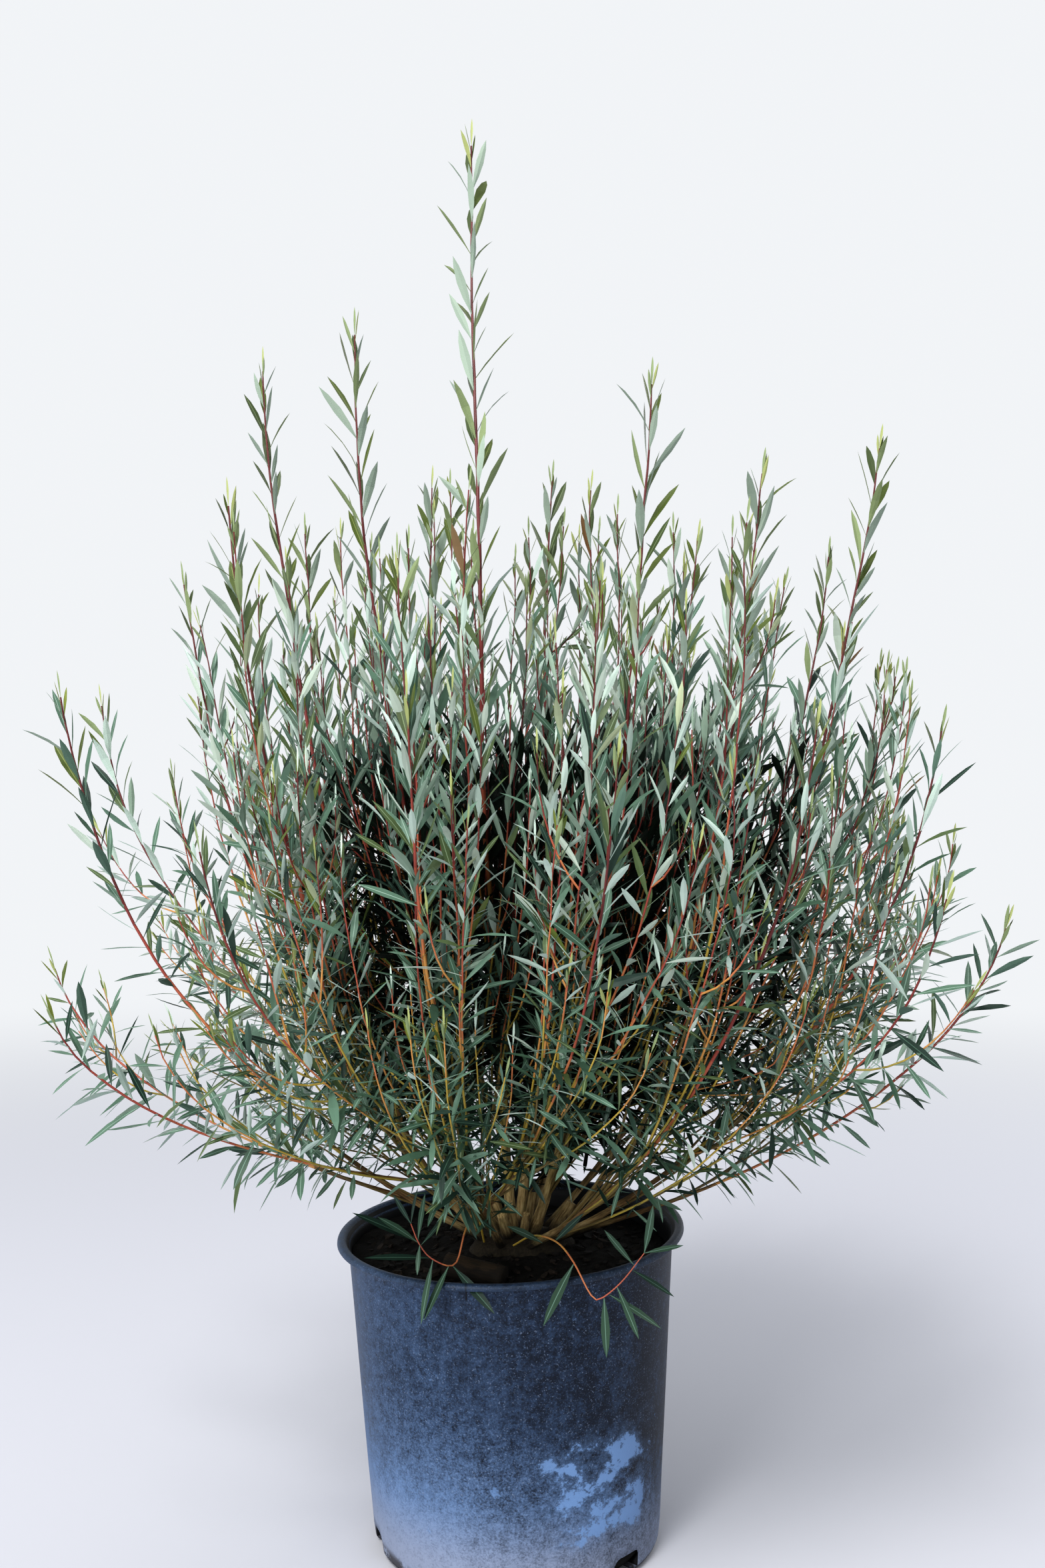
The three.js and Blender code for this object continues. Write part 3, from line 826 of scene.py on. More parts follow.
limbSpec = {
    "seed": 3,
    "start": 0.011,  # above the soil
    "bareStem": 0.195,
    "bareBough": 0.115,
    # distance, radius and whether the distance is a share of the length
    "stemGirths": [(0, 0.0072, False), (0.09, 0.0053, False), (0.195, 0.0036, False), (0.31, 0.0027, False),
                   (0.5, 0.0024, True), (0.8, 0.0016, True), (1, 0.0009, True)],
    "boughGirths": [(0, 0.0050, False), (0.12, 0.0034, False), (0.24, 0.0024, False),
                    (0.5, 0.0020, True), (0.8, 0.0014, True), (1, 0.0008, True)],
    "sideGirths": [(0, 0.0021, False), (0.4, 0.0017, True), (0.8, 0.0013, True), (1, 0.0008, True)],
    "lowTip": 0.9,  # leaders that end below this height are thin, and so are those that reach far out
    "lowShare": 0.48,
    "farReach": 0.37,
    "farShare": 0.62,
    "farRed": 0.47,  # and redder, by this much
    "farRipeness": 0.28,
    "wobble": 0.007,
    "leafTop": 0.033,  # the last leaves reach this much higher than the wood
    "startOut": 0.55,
    "startRise": 0.23,
    "endRise": 0.42,
    "endLean": 0.08,
    "step": 0.022,
    "slimFrom": 0.2,  # distance above which thin leaders have their full girth again, by their end
    "forkLow": 0.2,  # leaders that fork higher on another than this share of it are side limbs
    "bows": {"tall_front": 0.13},  # above the bare stem these lean further forward in their middle
    "bowFrom": 0.12,
}

wave = {"coarse": 4.2, "fine": 21, "fineShare": 0.16, "across": Vector((31, 0, 0)), "easeIn": 0.35}


def bezier(a, b, c, d, t):
    s = 1 - t
    return a * s ** 3 + b * (3 * s * s * t) + c * (3 * s * t * t) + d * t ** 3


def evenly(curve, step, samples=120):
    # points along a curve at equal steps of about the given length
    fine = [curve(i / samples) for i in range(samples + 1)]
    reach = [0.0]
    for a, b in zip(fine, fine[1:]):
        reach.append(reach[-1] + (b - a).length)
    count = max(3, round(reach[-1] / step))
    points, at = [], 0
    for i in range(count + 1):
        want = reach[-1] * i / count
        while at < samples - 1 and reach[at + 1] < want:
            at += 1
        share = clamp((want - reach[at]) / max(reach[at + 1] - reach[at], 1e-9))
        points.append(fine[at].lerp(fine[at + 1], share))
    return points


def leaderCurve(foot, tip):
    spec = limbSpec
    out = Vector((tip.x - foot.x, tip.y - foot.y, 0))
    rise = tip.z - foot.z
    low = foot + out * spec["startOut"] + up * (spec["startRise"] * rise)
    high = tip - out * spec["endLean"] - up * (spec["endRise"] * rise)
    return lambda t: bezier(foot, low, high, tip, t)


class Path:
    # a limb or shoot as points, with its length and its girth from foot to tip
    # each row of girths is a distance, a radius, and whether the distance is a share of the length
    def __init__(self, points, girths, group):
        self.points = points
        self.group = group
        self.reach = [0.0]
        for a, b in zip(points, points[1:]):
            self.reach.append(self.reach[-1] + (b - a).length)
        self.length = self.reach[-1]
        self.girths = [(self.length * d if shared else d, r) for d, r, shared in girths]

    def at(self, distance):
        distance = clamp(distance, 0, self.length)
        for i in range(len(self.points) - 1):
            if self.reach[i + 1] >= distance:
                break
        share = (distance - self.reach[i]) / max(self.reach[i + 1] - self.reach[i], 1e-9)
        along = (self.points[i + 1] - self.points[i]).normalized()
        return self.points[i].lerp(self.points[i + 1], share), along

    def radius(self, distance):
        for (d0, r0), (d1, r1) in zip(self.girths, self.girths[1:]):
            if distance <= d1:
                return mix(r0, r1, clamp((distance - d0) / max(d1 - d0, 1e-9)))
        return self.girths[-1][1]


def wavy(points, rng, amount):
    # a slight waver, none at the foot and none of it sharp
    shift = Vector([rng.uniform(-50, 50) for _ in range(3)])

    def sway(place):
        return Vector((noise.noise(place), noise.noise(place + wave["across"]), 0))

    moved = []
    for i, point in enumerate(points):
        push = sway(point * wave["coarse"] + shift) + sway(point * wave["fine"] + shift) * wave["fineShare"]
        moved.append(point + push * amount * smooth(i / (len(points) - 1), 0, wave["easeIn"]))
    return moved


def growLeaders():
    spec = limbSpec
    rng = random.Random(spec["seed"])
    leaders = {}
    for name, (turn, reach, height, start) in leaderRows.items():
        tip = polar(turn, reach * mm, height * mm - spec["leafTop"])
        if isinstance(start[0], str):
            parent = leaders[start[0]]
            foot = parent.at(parent.length * start[1])[0]
            kind, bare, girths = "bough", spec["bareBough"], spec["boughGirths"]
            if start[1] >= spec["forkLow"]:
                kind, bare, girths = "side", 0.0, spec["sideGirths"]
        else:
            foot = polar(start[0], start[1] * mm, soilSpec["top"] + spec["start"])
            kind, bare, girths = "stem", spec["bareStem"], spec["stemGirths"]
        slim = spec["farShare"] if reach * mm > spec["farReach"] else 1.0
        slim = spec["lowShare"] if tip.z < spec["lowTip"] else slim
        girths = [(d, mix(r * slim, r, smooth(d, spec["slimFrom"], 1.0)), shared) for d, r, shared in girths]
        points = evenly(leaderCurve(foot, tip), spec["step"])
        bow = Vector((0, -spec["bows"].get(name, 0.0), 0))
        for i, point in enumerate(points):
            share = smooth(i / (len(points) - 1), spec["bowFrom"], 1.0)
            points[i] = point + bow * math.sin(math.pi * share)
        path = Path(wavy(points, rng, spec["wobble"]), girths, name)
        path.kind, path.bare = kind, bare
        leaders[name] = path
    return leaders


# Stool and bark of the thick lower limbs

barkSpec = {
    "seed": 5,
    "sides": 22,
    "step": 0.0042,
    "relief": 0.0008,
    "overlap": 0.004,  # how far bark and shoot run into each other
    "knotGap": 0.031,
    "calm": 0.03,  # the last stretch, where the relief dies out
    "flareReach": 0.05,
    "flares": {"stem": 0.12, "bough": 0.2, "stub": 0.3, "log": 0.1},
    # noise round a limb, along it and from limb to limb
    "runs": (2.1, 34, 9),
    "cracks": (4.5, 48, 5),
    "knotShift": 0.011,
    "roughness": (0.9, 1.1, 0.3, 0.35),  # shares of runs, cracks, an even rise and knots
    "stoolFoot": 0.330,
    "stoolTop": 0.354,
    "stoolRadius": (0.066, 0.046),
    "stoolSides": 72,
    "stoolRows": 16,
    "stoolEdge": 10,  # the row from which the stool's top rounds in
    "lobes": ((0.07, 5, 0.6), (0.05, 3, 2)),  # size, how many round the stool, and their turn
    "lumps": 0.10,
    "creases": 0.05,
    "stubs": 8,  # of older stems, cut short
    "stubTurn": 137.5,
    "stubSpread": 15,
    "stubReach": (18, 50),
    "stubFoot": 0.348,
    "stubLean": (0.2, 0.7),
    "stubThick": (0.0035, 0.0065),
    "stubTaper": 0.9,
    "stubSize": (0.022, 0.05),
    "stubLength": 0.045,
    # the grey stump of an old root that lies across the mix in front
    "log": ((-0.014, -0.134, 0.340), (-0.078, -0.108, 0.346), 0.0115, 0.0135),
}

# the bark's colours, and where each begins and ends: height in metres, or the value of a noise
barkLook = {
    "tan": ((0.26, (54, 45, 30)), (0.42, (124, 105, 70)), (0.56, (168, 146, 102)), (0.74, (192, 176, 136))),
    "olive": ((0.26, (62, 54, 30)), (0.44, (126, 112, 60)), (0.60, (164, 148, 82)), (0.76, (180, 167, 110))),
    "oliveRise": (0.37, 0.49),
    "mossEdge": (0.52, 0.66),
    "moss": (112, 112, 76),
    "lowRise": (0.48, 0.58),  # the low limbs that reach out are browner
    "outward": (0.06, 0.15),
    "brownEdge": (0.35, 0.65),
    "brownDark": (62, 42, 26),
    "brownLight": (112, 78, 46),
    # painted shade: the stool and the feet of the stems below the rim fade to near black
    "dampRise": (0.351, 0.376),
    "frontEdge": (-0.106, -0.088),  # the stump in front is dark
    "frontRise": (0.366, 0.40),
    "damp": (11, 9, 7),
}


class Skin:
    # a mesh of tubes, with the run of the fibres kept at each point for the material
    def __init__(self):
        self.points, self.faces, self.fibres = [], [], []

    def ring(self, centre, side, across, sides, radius, run):
        for turn in turnsRound(sides):
            reach = radius(turn)
            self.points.append(centre + (side * math.cos(turn) + across * math.sin(turn)) * reach)
            self.fibres.append(around(turn, reach, run))
        return len(self.points) - sides

    def cap(self, first, sides, point, run, upper):
        self.faces += fan(first, sides, len(self.points), upper)
        self.points.append(point)
        self.fibres.append(Vector((0, 0, run)))

    def tube(self, path, last, number, flare=0.0, cut=False):
        spec = barkSpec
        sides, count = spec["sides"], max(3, round(last / spec["step"]))
        side = path.at(0)[1].orthogonal().normalized()
        rings = []
        for i in range(count + 1):
            distance = last * i / count
            centre, along = path.at(distance)
            side = (side - along * side.dot(along)).normalized()
            fade = 1 if cut else 1 - smooth(distance, last - spec["calm"], last)
            beat = 2 * math.pi * (distance + number * spec["knotShift"]) / spec["knotGap"]
            knot = (0.5 + 0.5 * math.cos(beat)) ** 8
            girth = path.radius(distance) * (1 + flare * (1 - smooth(distance, 0, spec["flareReach"])))

            def radius(turn):
                run, crack = (noise.noise(around(turn, across, distance * onward + number * apart))
                              for across, onward, apart in (spec["runs"], spec["cracks"]))
                runShare, crackShare, even, knotShare = spec["roughness"]
                rough = run * runShare - abs(crack) * crackShare + even + knot * knotShare
                return girth + spec["relief"] * rough * fade
            rings.append(self.ring(centre, side, along.cross(side), sides, radius, distance + number))
        self.faces += bands(rings, sides)
        self.cap(rings[0], sides, path.at(0)[0], number, False)
        end, along = path.at(last)
        self.cap(rings[-1], sides, end + along * (0.0 if cut else 0.002), last + number, True)

    def stool(self):
        spec = barkSpec
        sides, rows, edge = spec["stoolSides"], spec["stoolRows"], spec["stoolEdge"]
        foot, top = Vector((0, 0, spec["stoolFoot"])), Vector((0, 0, spec["stoolTop"]))
        rings = []
        for row in range(rows + 1):
            share = row / rows
            centre = foot.lerp(top, share ** 0.8)
            inward = 1 if row <= edge else math.sqrt(max(0.0, 1 - ((row - edge) / (rows + 1 - edge)) ** 2))

            def radius(turn):
                lobes = 1 + sum(size * math.sin(count * turn + phase) for size, count, phase in spec["lobes"])
                place = around(turn, 2.6, centre.z * 30)
                lumps = noise.noise(place) * spec["lumps"] - abs(noise.noise(place * 3.1)) * spec["creases"]
                return mix(*spec["stoolRadius"], share) * (lobes + lumps) * inward
            rings.append(self.ring(centre, Vector((1, 0, 0)), Vector((0, 1, 0)), sides, radius, centre.z))
        self.faces += bands(rings, sides)
        self.cap(rings[0], sides, foot, 0, False)
        self.cap(rings[-1], sides, top + up * 0.001, 0, True)


def straight(foot, tip, first, last):
    return Path([foot.lerp(tip, i / 4) for i in range(5)], [(0, first, True), (1, last, True)], "stub")


def makeBark(leaders):
    spec = barkSpec
    rng = random.Random(spec["seed"])
    skin = Skin()
    skin.stool()
    clad = {name: path for name, path in leaders.items() if path.bare > 0}
    for number, path in enumerate(clad.values(), 1):
        skin.tube(path, path.bare + spec["overlap"], number, spec["flares"][path.kind])
    number = len(clad) + 1
    for i in range(spec["stubs"]):
        turn = i * spec["stubTurn"] + rng.uniform(-spec["stubSpread"], spec["stubSpread"])
        foot = polar(turn, rng.uniform(*spec["stubReach"]) * mm, spec["stubFoot"])
        lean = polar(turn, rng.uniform(*spec["stubLean"]), 1).normalized()
        thick = rng.uniform(*spec["stubThick"])
        stub = straight(foot, foot + lean * rng.uniform(*spec["stubSize"]), thick, thick * spec["stubTaper"])
        skin.tube(stub, spec["stubLength"], number + i, spec["flares"]["stub"], True)
    foot, tip, first, last = spec["log"]
    log = straight(Vector(foot), Vector(tip), first, last)
    skin.tube(log, log.length, number + spec["stubs"], spec["flares"]["log"], True)
    bark = meshPiece("willowBark", skin.points, skin.faces, barkMaterial())
    setValues(bark.data, "fibre", "FLOAT_VECTOR", skin.fibres)
    rideAndReplace(bark, ["stool"] + [f"{path.kind}_{name}" for name, path in clad.items()])
    print("bark faces", len(bark.data.polygons))


def barkMaterial():
    look = barkLook
    material, graph, shader = newMaterial("willowBark", roughness=0.78, specular=0.3)
    ease, tone = reader(graph, look)
    place = graph.place()
    y, z = graph.parts(place)[1:]
    fibre = graph.node("ShaderNodeAttribute", {"attribute_name": "fibre"}, output="Vector")
    streaks = graph.grain(graph.stretched(fibre, 420.0, 420.0, 46.0), 1.0, 5.0, 0.62)
    blotches = graph.grain(place, 42.0, 4.0, 0.6)
    height = ease(z + (blotches - 0.5) * 0.09, "oliveRise")
    colour = graph.blend(height, graph.ramp(streaks, look["tan"]), graph.ramp(streaks, look["olive"]))
    colour = graph.blend(ease(blotches, "mossEdge") * 0.4, colour, tone("moss"))
    low = 1 - ease(z, "lowRise")
    outward = ease(graph.reach(graph.stretched(place, 1.0, 1.0, 0.0)), "outward")
    brown = graph.blend(ease(streaks, "brownEdge"), tone("brownDark"), tone("brownLight"))
    colour = graph.blend(outward * low * 0.8, colour, brown)
    # painted shade: near black at the foot of the stems and the stool, and on the stump in front
    damp = 1 - ease(z + (blotches - 0.5) * 0.03, "dampRise")
    front = (1 - ease(y, "frontEdge")) * (1 - ease(z, "frontRise"))
    colour = graph.blend(damp.maths("MAXIMUM", front * 0.92) * 0.96, colour, tone("damp"))
    graph.join(shader.inputs["Base Color"], colour)
    graph.join(shader.inputs["Roughness"], 0.86 - height * 0.26)
    graph.bump(shader, streaks, 0.6, 0.0012)
    return material


# Shoots: a seeded rule that sends shoots off the leaders towards places spread over the crown

shootSpec = {
    "seed": 41,
    "crownMiddle": Vector((0.030, 0.0, 0.0)),
    "crownTop": 1.085,  # the dense top of the crown, at its middle
    "crownSlope": 0.50,
    "crownRadius": 0.450,
    "crownSides": ((0.25, 0.44), (0.40, 0.68)),  # its radius low and high, and between which heights
    # how many, and between which shares of its leader's length each one leaves it
    "dome": (190, 0.03, 0.27),
    "shell": (66, 0.04, 0.26),
    "inner": (165, 0.05, 0.26),
    "skirt": (32, 0.06, 0.2),
    "back": (105, 0.03, 0.10),
    "domeSpread": (0.94, 1.03),
    "aboveShare": 0.38,  # of the dome's shoots stand above it, the rest end below it
    "above": (0.085, 0.13),  # how far, spread and most
    "below": 0.19,
    "shellHeights": (0.60, 0.90),
    "shellRadii": ((0.34, 0.45), (0.5, 0.8)),  # low and high, and between which heights
    "shellSpread": (0.86, 1.05),
    "innerHeights": (0.60, 0.94),
    "innerRadius": 0.35,
    "skirtRadii": (0.27, 0.46),
    "skirtHeights": (0.50, 0.64),
    "skirtLift": 0.1,  # higher in front, between these distances
    "skirtFront": (0.1, 0.3),
    "backTurns": (10, 170),
    "backRadii": (0.05, 0.34),
    "backHeights": (0.46, 0.72),
    "thinLeft": -0.17,  # left and right of here some of the shoots are missing
    "thinRight": 0.26,
    "thinShare": 0.38,
    "openRight": 0.15,  # right of here half of the low shoots are missing
    "step": 0.024,
    "wobble": 0.012,
    "startReach": 0.22,
    "endRise": (0.34, 0.46),
    "endLean": (0.02, 0.12),
    "leastRise": 0.12,
    "girthRange": (0.7, 1.1),  # long shoots are thicker
    "girthSpread": (0.88, 1.1),
    "girths": (0.0017, 0.00125, 0.0007),  # radius at the foot, in the middle and at the tip
    "sides": 7,
}

twigSpec = {
    "longest": 0.35,  # shoots shorter than this have none
    "counts": (0, 0, 1, 1, 2),
    "starts": (0.34, 0.76),
    "clear": (0.52, -0.04),  # no twigs lower than this in front of this
    "size": (0.06, 0.19),
    "shrink": (1.1, 0.4),  # smaller from the foot of a shoot to its tip
    "tipWay": (0.78, 0.5, 0.45),  # along the shoot, sideways and up
    "middleWay": (0.7, 0.75),
    "middleShare": 0.45,
    "bends": (0.6, 0.3),
    "step": 0.018,
    "girths": (0.0011, 0.0009, 0.0006),
    "bare": 0.012,
    "sproutHeights": (0.5, 0.75),  # a few yellow-green ones
    "sproutShare": 0.03,
}

golden = math.radians(137.508)


def crownHeight(x, y):
    spec = shootSpec
    across = x - spec["crownMiddle"].x
    return spec["crownTop"] - spec["crownSlope"] * (across * across + y * y)


def crownDepth(place):
    # how far a place lies inside the dense part of the crown
    across = place.x - shootSpec["crownMiddle"].x
    radii, heights = shootSpec["crownSides"]
    side = mix(*radii, smooth(place.z, *heights)) - math.hypot(across, place.y)
    return min(side, crownHeight(place.x, place.y) - place.z)


def nearestLeader(leaders, target):
    def cost(path):
        apart = path.points[-1] - target
        return apart.xy.length + 0.12 * abs(apart.z)
    return min(leaders.values(), key=cost)


def threeGirths(sizes, scale=1.0):
    return [(0, sizes[0] * scale, True), (0.5, sizes[1] * scale, True), (1, sizes[2], True)]


def shootTo(leaders, target, rng, first, last):
    spec = shootSpec
    parent = nearestLeader(leaders, target)
    foot, along = parent.at(parent.length * rng.uniform(first, last))
    if foot.z > target.z - spec["leastRise"]:
        foot, along = parent.at(parent.length * first)
    out = Vector((target.x - foot.x, target.y - foot.y, 0))
    rise = max(target.z - foot.z, 0.05)
    span = (target - foot).length
    reach = spec["startReach"]
    low = foot + along * span * reach + out * reach + up * 0.05 * rise
    high = target - up * (rise * rng.uniform(*spec["endRise"])) - out * rng.uniform(*spec["endLean"])
    points = evenly(lambda t: bezier(foot, low, high, target, t), spec["step"])
    points = wavy(points, rng, spec["wobble"])
    scale = clamp(0.62 + 0.5 * span, *spec["girthRange"]) * rng.uniform(*spec["girthSpread"])
    return Path(points, threeGirths(spec["girths"], scale), parent.group)


def growShoots(leaders):
    spec = shootSpec
    middle = spec["crownMiddle"]
    rng = random.Random(spec["seed"])
    shoots = []

    def each(kind, phase=0.0):
        # a number, its share of the kind and its turn round the crown
        count = spec[kind][0]
        return [(i, (i + 0.5) / count, i * golden + phase) for i in range(count)]

    def send(kind, target):
        shoots.append(shootTo(leaders, target, rng, *spec[kind][1:]))

    for i, share, turn in each("dome"):  # up to the dense top, a few above it
        radius = spec["crownRadius"] * math.sqrt(share) * rng.uniform(*spec["domeSpread"])
        turn += rng.uniform(-0.2, 0.2)
        x, y = radius * math.cos(turn) + middle.x, radius * math.sin(turn)
        if rng.random() < spec["aboveShare"]:
            extra = min(abs(rng.gauss(0, spec["above"][0])), spec["above"][1])
        else:
            extra = -rng.uniform(0, spec["below"])
        if spec["thinLeft"] < x < spec["thinRight"] or rng.random() >= spec["thinShare"]:
            send("dome", Vector((x, y, crownHeight(x, y) + extra)))
    for i, share, turn in each("shell", 0.8):  # up the sides
        height = rng.uniform(*spec["shellHeights"])
        radii, heights = spec["shellRadii"]
        radius = mix(*radii, smooth(height, *heights)) * rng.uniform(*spec["shellSpread"])
        target = around(turn, radius, height) + middle
        if target.x >= spec["thinLeft"] or rng.random() >= spec["thinShare"]:
            send("shell", target)
    for i, share, turn in each("inner", 2.1):  # short ones that fill the middle
        height = rng.uniform(*spec["innerHeights"])
        send("inner", around(turn, spec["innerRadius"] * math.sqrt(share), height) + middle)
    for i, share, turn in each("skirt", 4.0):  # low ones round the foot of the crown
        target = around(turn, rng.uniform(*spec["skirtRadii"]), rng.uniform(*spec["skirtHeights"]))
        target.z += spec["skirtLift"] * smooth(-target.y, *spec["skirtFront"])
        if target.x <= spec["openRight"] or i % 2 == 0:
            send("skirt", target)
    for i, share, turn in each("back"):  # short low ones behind the stool
        target = polar(*[rng.uniform(*spec[key]) for key in ("backTurns", "backRadii", "backHeights")])
        if target.x <= spec["openRight"] or i % 2 == 0:
            send("back", target)
    return shoots


def growSideTwigs(paths, rng):
    # short twigs that leave a shoot at a narrow angle and turn up
    spec = twigSpec
    twigs = []
    for path in paths:
        count = rng.choice(spec["counts"]) if path.length > spec["longest"] else 0
        for _ in range(count):
            start = path.length * rng.uniform(*spec["starts"])
            foot, along = path.at(start)
            if foot.z < spec["clear"][0] and foot.y < spec["clear"][1]:
                continue
            side = along.cross(around(rng.uniform(0, 2 * math.pi), 1, 0.2)).normalized()
            most, less = spec["shrink"]
            size = rng.uniform(*spec["size"]) * (most - less * start / path.length)
            onward, sideways, upward = spec["tipWay"]
            tip = foot + (along * onward + side * sideways + up * upward).normalized() * size
            onward, sideways = spec["middleWay"]
            middle = foot + (along * onward + side * sideways) * size * spec["middleShare"]
            low, high = foot.lerp(middle, spec["bends"][0]), middle.lerp(tip, spec["bends"][1])
            points = evenly(lambda t: bezier(foot, low, high, tip, t), spec["step"])
            twigs.append(Path(points, threeGirths(spec["girths"]), path.group))
    return twigs


# Leaves

leafSpec = {
    "seed": 97,
    "length": 0.0445,
    "leaderLength": 0.054,
    "widthShare": 0.152,  # of the length
    # share of the length, share of the width
    "stations": [(0.0, 0.10), (0.09, 0.24), (0.30, 0.76), (0.56, 1.0), (0.82, 0.66)],
    "plainStations": [(0.0, 0.12), (0.27, 0.70), (0.54, 1.0), (0.82, 0.66)],
    "innerStations": [(0.0, 0.12), (0.32, 0.85), (0.70, 0.95)],
    "ribShare": 0.013,
    "thickness": 0.0075,
    "turn": 137.5,  # degrees from one leaf to the next round the shoot
    "turnSpread": 22,
    "gaps": (0.0090, 0.0122),  # along the shoot between two leaves, low and high in the crown
    "gapHeights": (0.55, 1.05),
    "gapSpread": (0.7, 1.3),
    "tipGap": 0.7,
    "startSpread": 0.02,
    "endGap": 0.004,
    "nearTip": 0.05,
    "seat": 0.8,  # how far out from the middle of the wood, of its radius
    "heights": (0.50, 0.95),  # between these the leaves go from their low to their high habit
    "openings": (66, 21),  # degrees between leaf and shoot, low and high
    "tipOpening": 13,
    "tipLeaves": 0.02,  # nearer to the tip than this they have the shape for tips
    "openSpread": (0.65, 1.3),
    "lift": (-0.22, 0.16),
    "droop": 0.10,
    "faceUp": (1.0, 4.0),
    "roll": 30,
    "lowRoll": 0.6,
    "sizeSpread": (0.78, 1.22),
    "tipSize": 0.5,
    "tipReach": 0.06,
    "footSize": 0.86,
    "footShare": 0.3,
    "innerShare": 0.84,  # size and shape change from inside the crown to its outside
    "outerShare": 1.03,
    "outerHeights": (0.48, 0.82),
    "outerDepths": (-0.06, 0.02),
    "shadeShare": 1.1,
    "lastShare": 0.55,
    "bareTop": (0.41, 0.09),  # height above which there are more leaves, and the stretch to all of them
    "bareRadius": (0.15, 0.08),
    "bareBack": 0.02,  # and behind this there are all of them
    "bareShare": 0.2,
}

# how each leaf shape bends: width, fold, back, sideways, twist in degrees, and whether its midrib shows
leafShapes = [
    (1.00, 0.10, 0.05, 0.00, 6, True),
    (1.08, 0.06, 0.12, 0.02, -10, True),
    (0.92, 0.14, 0.20, -0.03, 24, False),
    (0.96, 0.08, -0.08, 0.05, -18, True),
    (0.88, 0.18, 0.10, -0.07, 36, False),
    (1.02, 0.06, 0.26, 0.03, 10, False),
    (0.74, 0.08, 0.16, 0.04, -14, True),
    (0.70, 0.12, -0.10, -0.05, 22, False),
    (0.80, 0.25, -0.03, 0.00, 6, False),
    (0.95, 0.10, 0.12, 0.02, 20, False),
]
broadShapes = (0, 0, 1, 1, 2, 3, 4, 5)
slimShapes = (2, 4, 6, 6, 7, 7)
tipShape = 8
innerShape = 9

# upper face, under face and midrib of each tint, from the young tips to the inner leaves, whose deep and
# shade tints are painted shade
leafTints = {
    "young": ((108, 118, 54), (150, 158, 104), (138, 148, 86)),
    "fresh": ((80, 93, 42), (164, 174, 142), (122, 136, 84)),
    "mid": ((72, 88, 56), (184, 198, 184), (128, 146, 114)),
    "blue": ((82, 108, 92), (184, 202, 191), (134, 158, 144)),
    "dark": ((52, 75, 60), (137, 157, 141), (98, 126, 112)),
    "deep": ((30, 49, 41), (84, 108, 95), (68, 95, 81)),
    "shade": ((11, 18, 13), (28, 39, 30), (22, 33, 25)),
    "sprout": ((88, 112, 50), (130, 148, 90), (128, 146, 82)),
    "ruddy": ((92, 70, 42), (126, 104, 76), (114, 82, 56)),
    # darker than the body's tints: partly the spires' own colour, partly painted shade against the stronger
    # light on the exposed tops
    "spireGreen": ((70, 83, 34), (124, 138, 100), (110, 122, 68)),
    "spirePale": ((60, 73, 42), (140, 155, 141), (106, 122, 88)),
}
young, fresh, mid, blue, dark, deep, shade, sprout, ruddy, spireGreen, spirePale = range(len(leafTints))

tintSpec = {
    "sprays": (1.8, 2.2, 2.6, 2.9, 3.3),  # the middle tint of a spray, as a number in the list above
    "spread": 0.7,
    "lowHeights": (0.46, 0.80),
    "lowBias": 1.9,  # added at the foot of the crown
    # painted light from the left: darker tints on the right side of the crown, lighter ones on the left
    "sideReach": (0.10, 0.30),
    "rightShadeBias": 0.6,
    "leftLightBias": 0.4,
    "skin": 0.05,  # depth above which a leaf shows outside
    "tip": 0.025,  # distances from the shoot's tip
    "tipHeight": 0.6,
    "greenShare": 0.4,
    "lowTop": (0.82, 0.16),
    "low": (mid, blue, blue, blue, dark, deep),
    "ruddy": (0.12, 0.008),
    "spire": -0.02,
    "upper": 0.09,
    "top": (fresh, mid, blue, spirePale),
    # painted shade: leaves deeper inside the crown get darker tints, down to the shade tint
    "inwardShadeDepths": (0.07, 0.30),
    "inwardShadeBias": 5.4,
    "shadeDepth": 0.14,
}


def leafMesh(name, stations, width, fold, back, sideways, twist, ribbed):
    # a thin closed blade along +Z, its upper face towards +Y
    spec = leafSpec
    half = spec["widthShare"] / 2 * width
    # from, to and which face: 0 upper, 1 under, 2 midrib
    strips = [(0, 1, 0), (1, 2, 2), (2, 3, 0), (3, 4, 1), (4, 0, 1)]
    if not ribbed:
        strips = [(0, 1, 0), (1, 2, 0), (2, 3, 1), (3, 0, 1)]
    count = len(strips)
    points, faces, sides = [], [], []

    def bent(x, y, t):
        turned = Matrix.Rotation(math.radians(twist) * t, 3, up) @ Vector((x, y, t))
        return turned + Vector((sideways, -back, 0)) * t * t

    for t, share in stations:
        w = half * share
        rib = min(spec["ribShare"] / 2, w * 0.4)
        middle = [bent(-rib, 0.0, t), bent(rib, 0.0, t)] if ribbed else [bent(0, 0.0, t)]
        points += [bent(-w, fold * w, t), *middle, bent(w, fold * w, t), bent(0, -spec["thickness"], t)]
    tip = len(points)
    points.append(bent(0, 0, 1.0))
    rows = len(stations)
    edges = (0, count - 2)  # the two rims of the blade
    for row in range(rows):
        low, high = row * count, row * count + count
        for a, b, side in strips:
            if row == rows - 1:
                faces.append((low + b, low + a, tip))
            elif a in edges:  # each quad is cut from its rim, so that both faces bend alike
                faces += [(low + b, low + a, high + b), (low + a, high + a, high + b)]
                sides.append(side)
            else:
                faces += [(low + b, low + a, high + a), (low + b, high + a, high + b)]
                sides.append(side)
            sides.append(side)
    faces.append(tuple(range(count)))
    sides.append(1)
    mesh = bpy.data.meshes.new(name)
    mesh.from_pydata(points, [], faces)
    mesh.polygons.foreach_set("use_smooth", [False] * len(faces))
    setValues(mesh, "side", "INT", sides, "FACE")
    return mesh


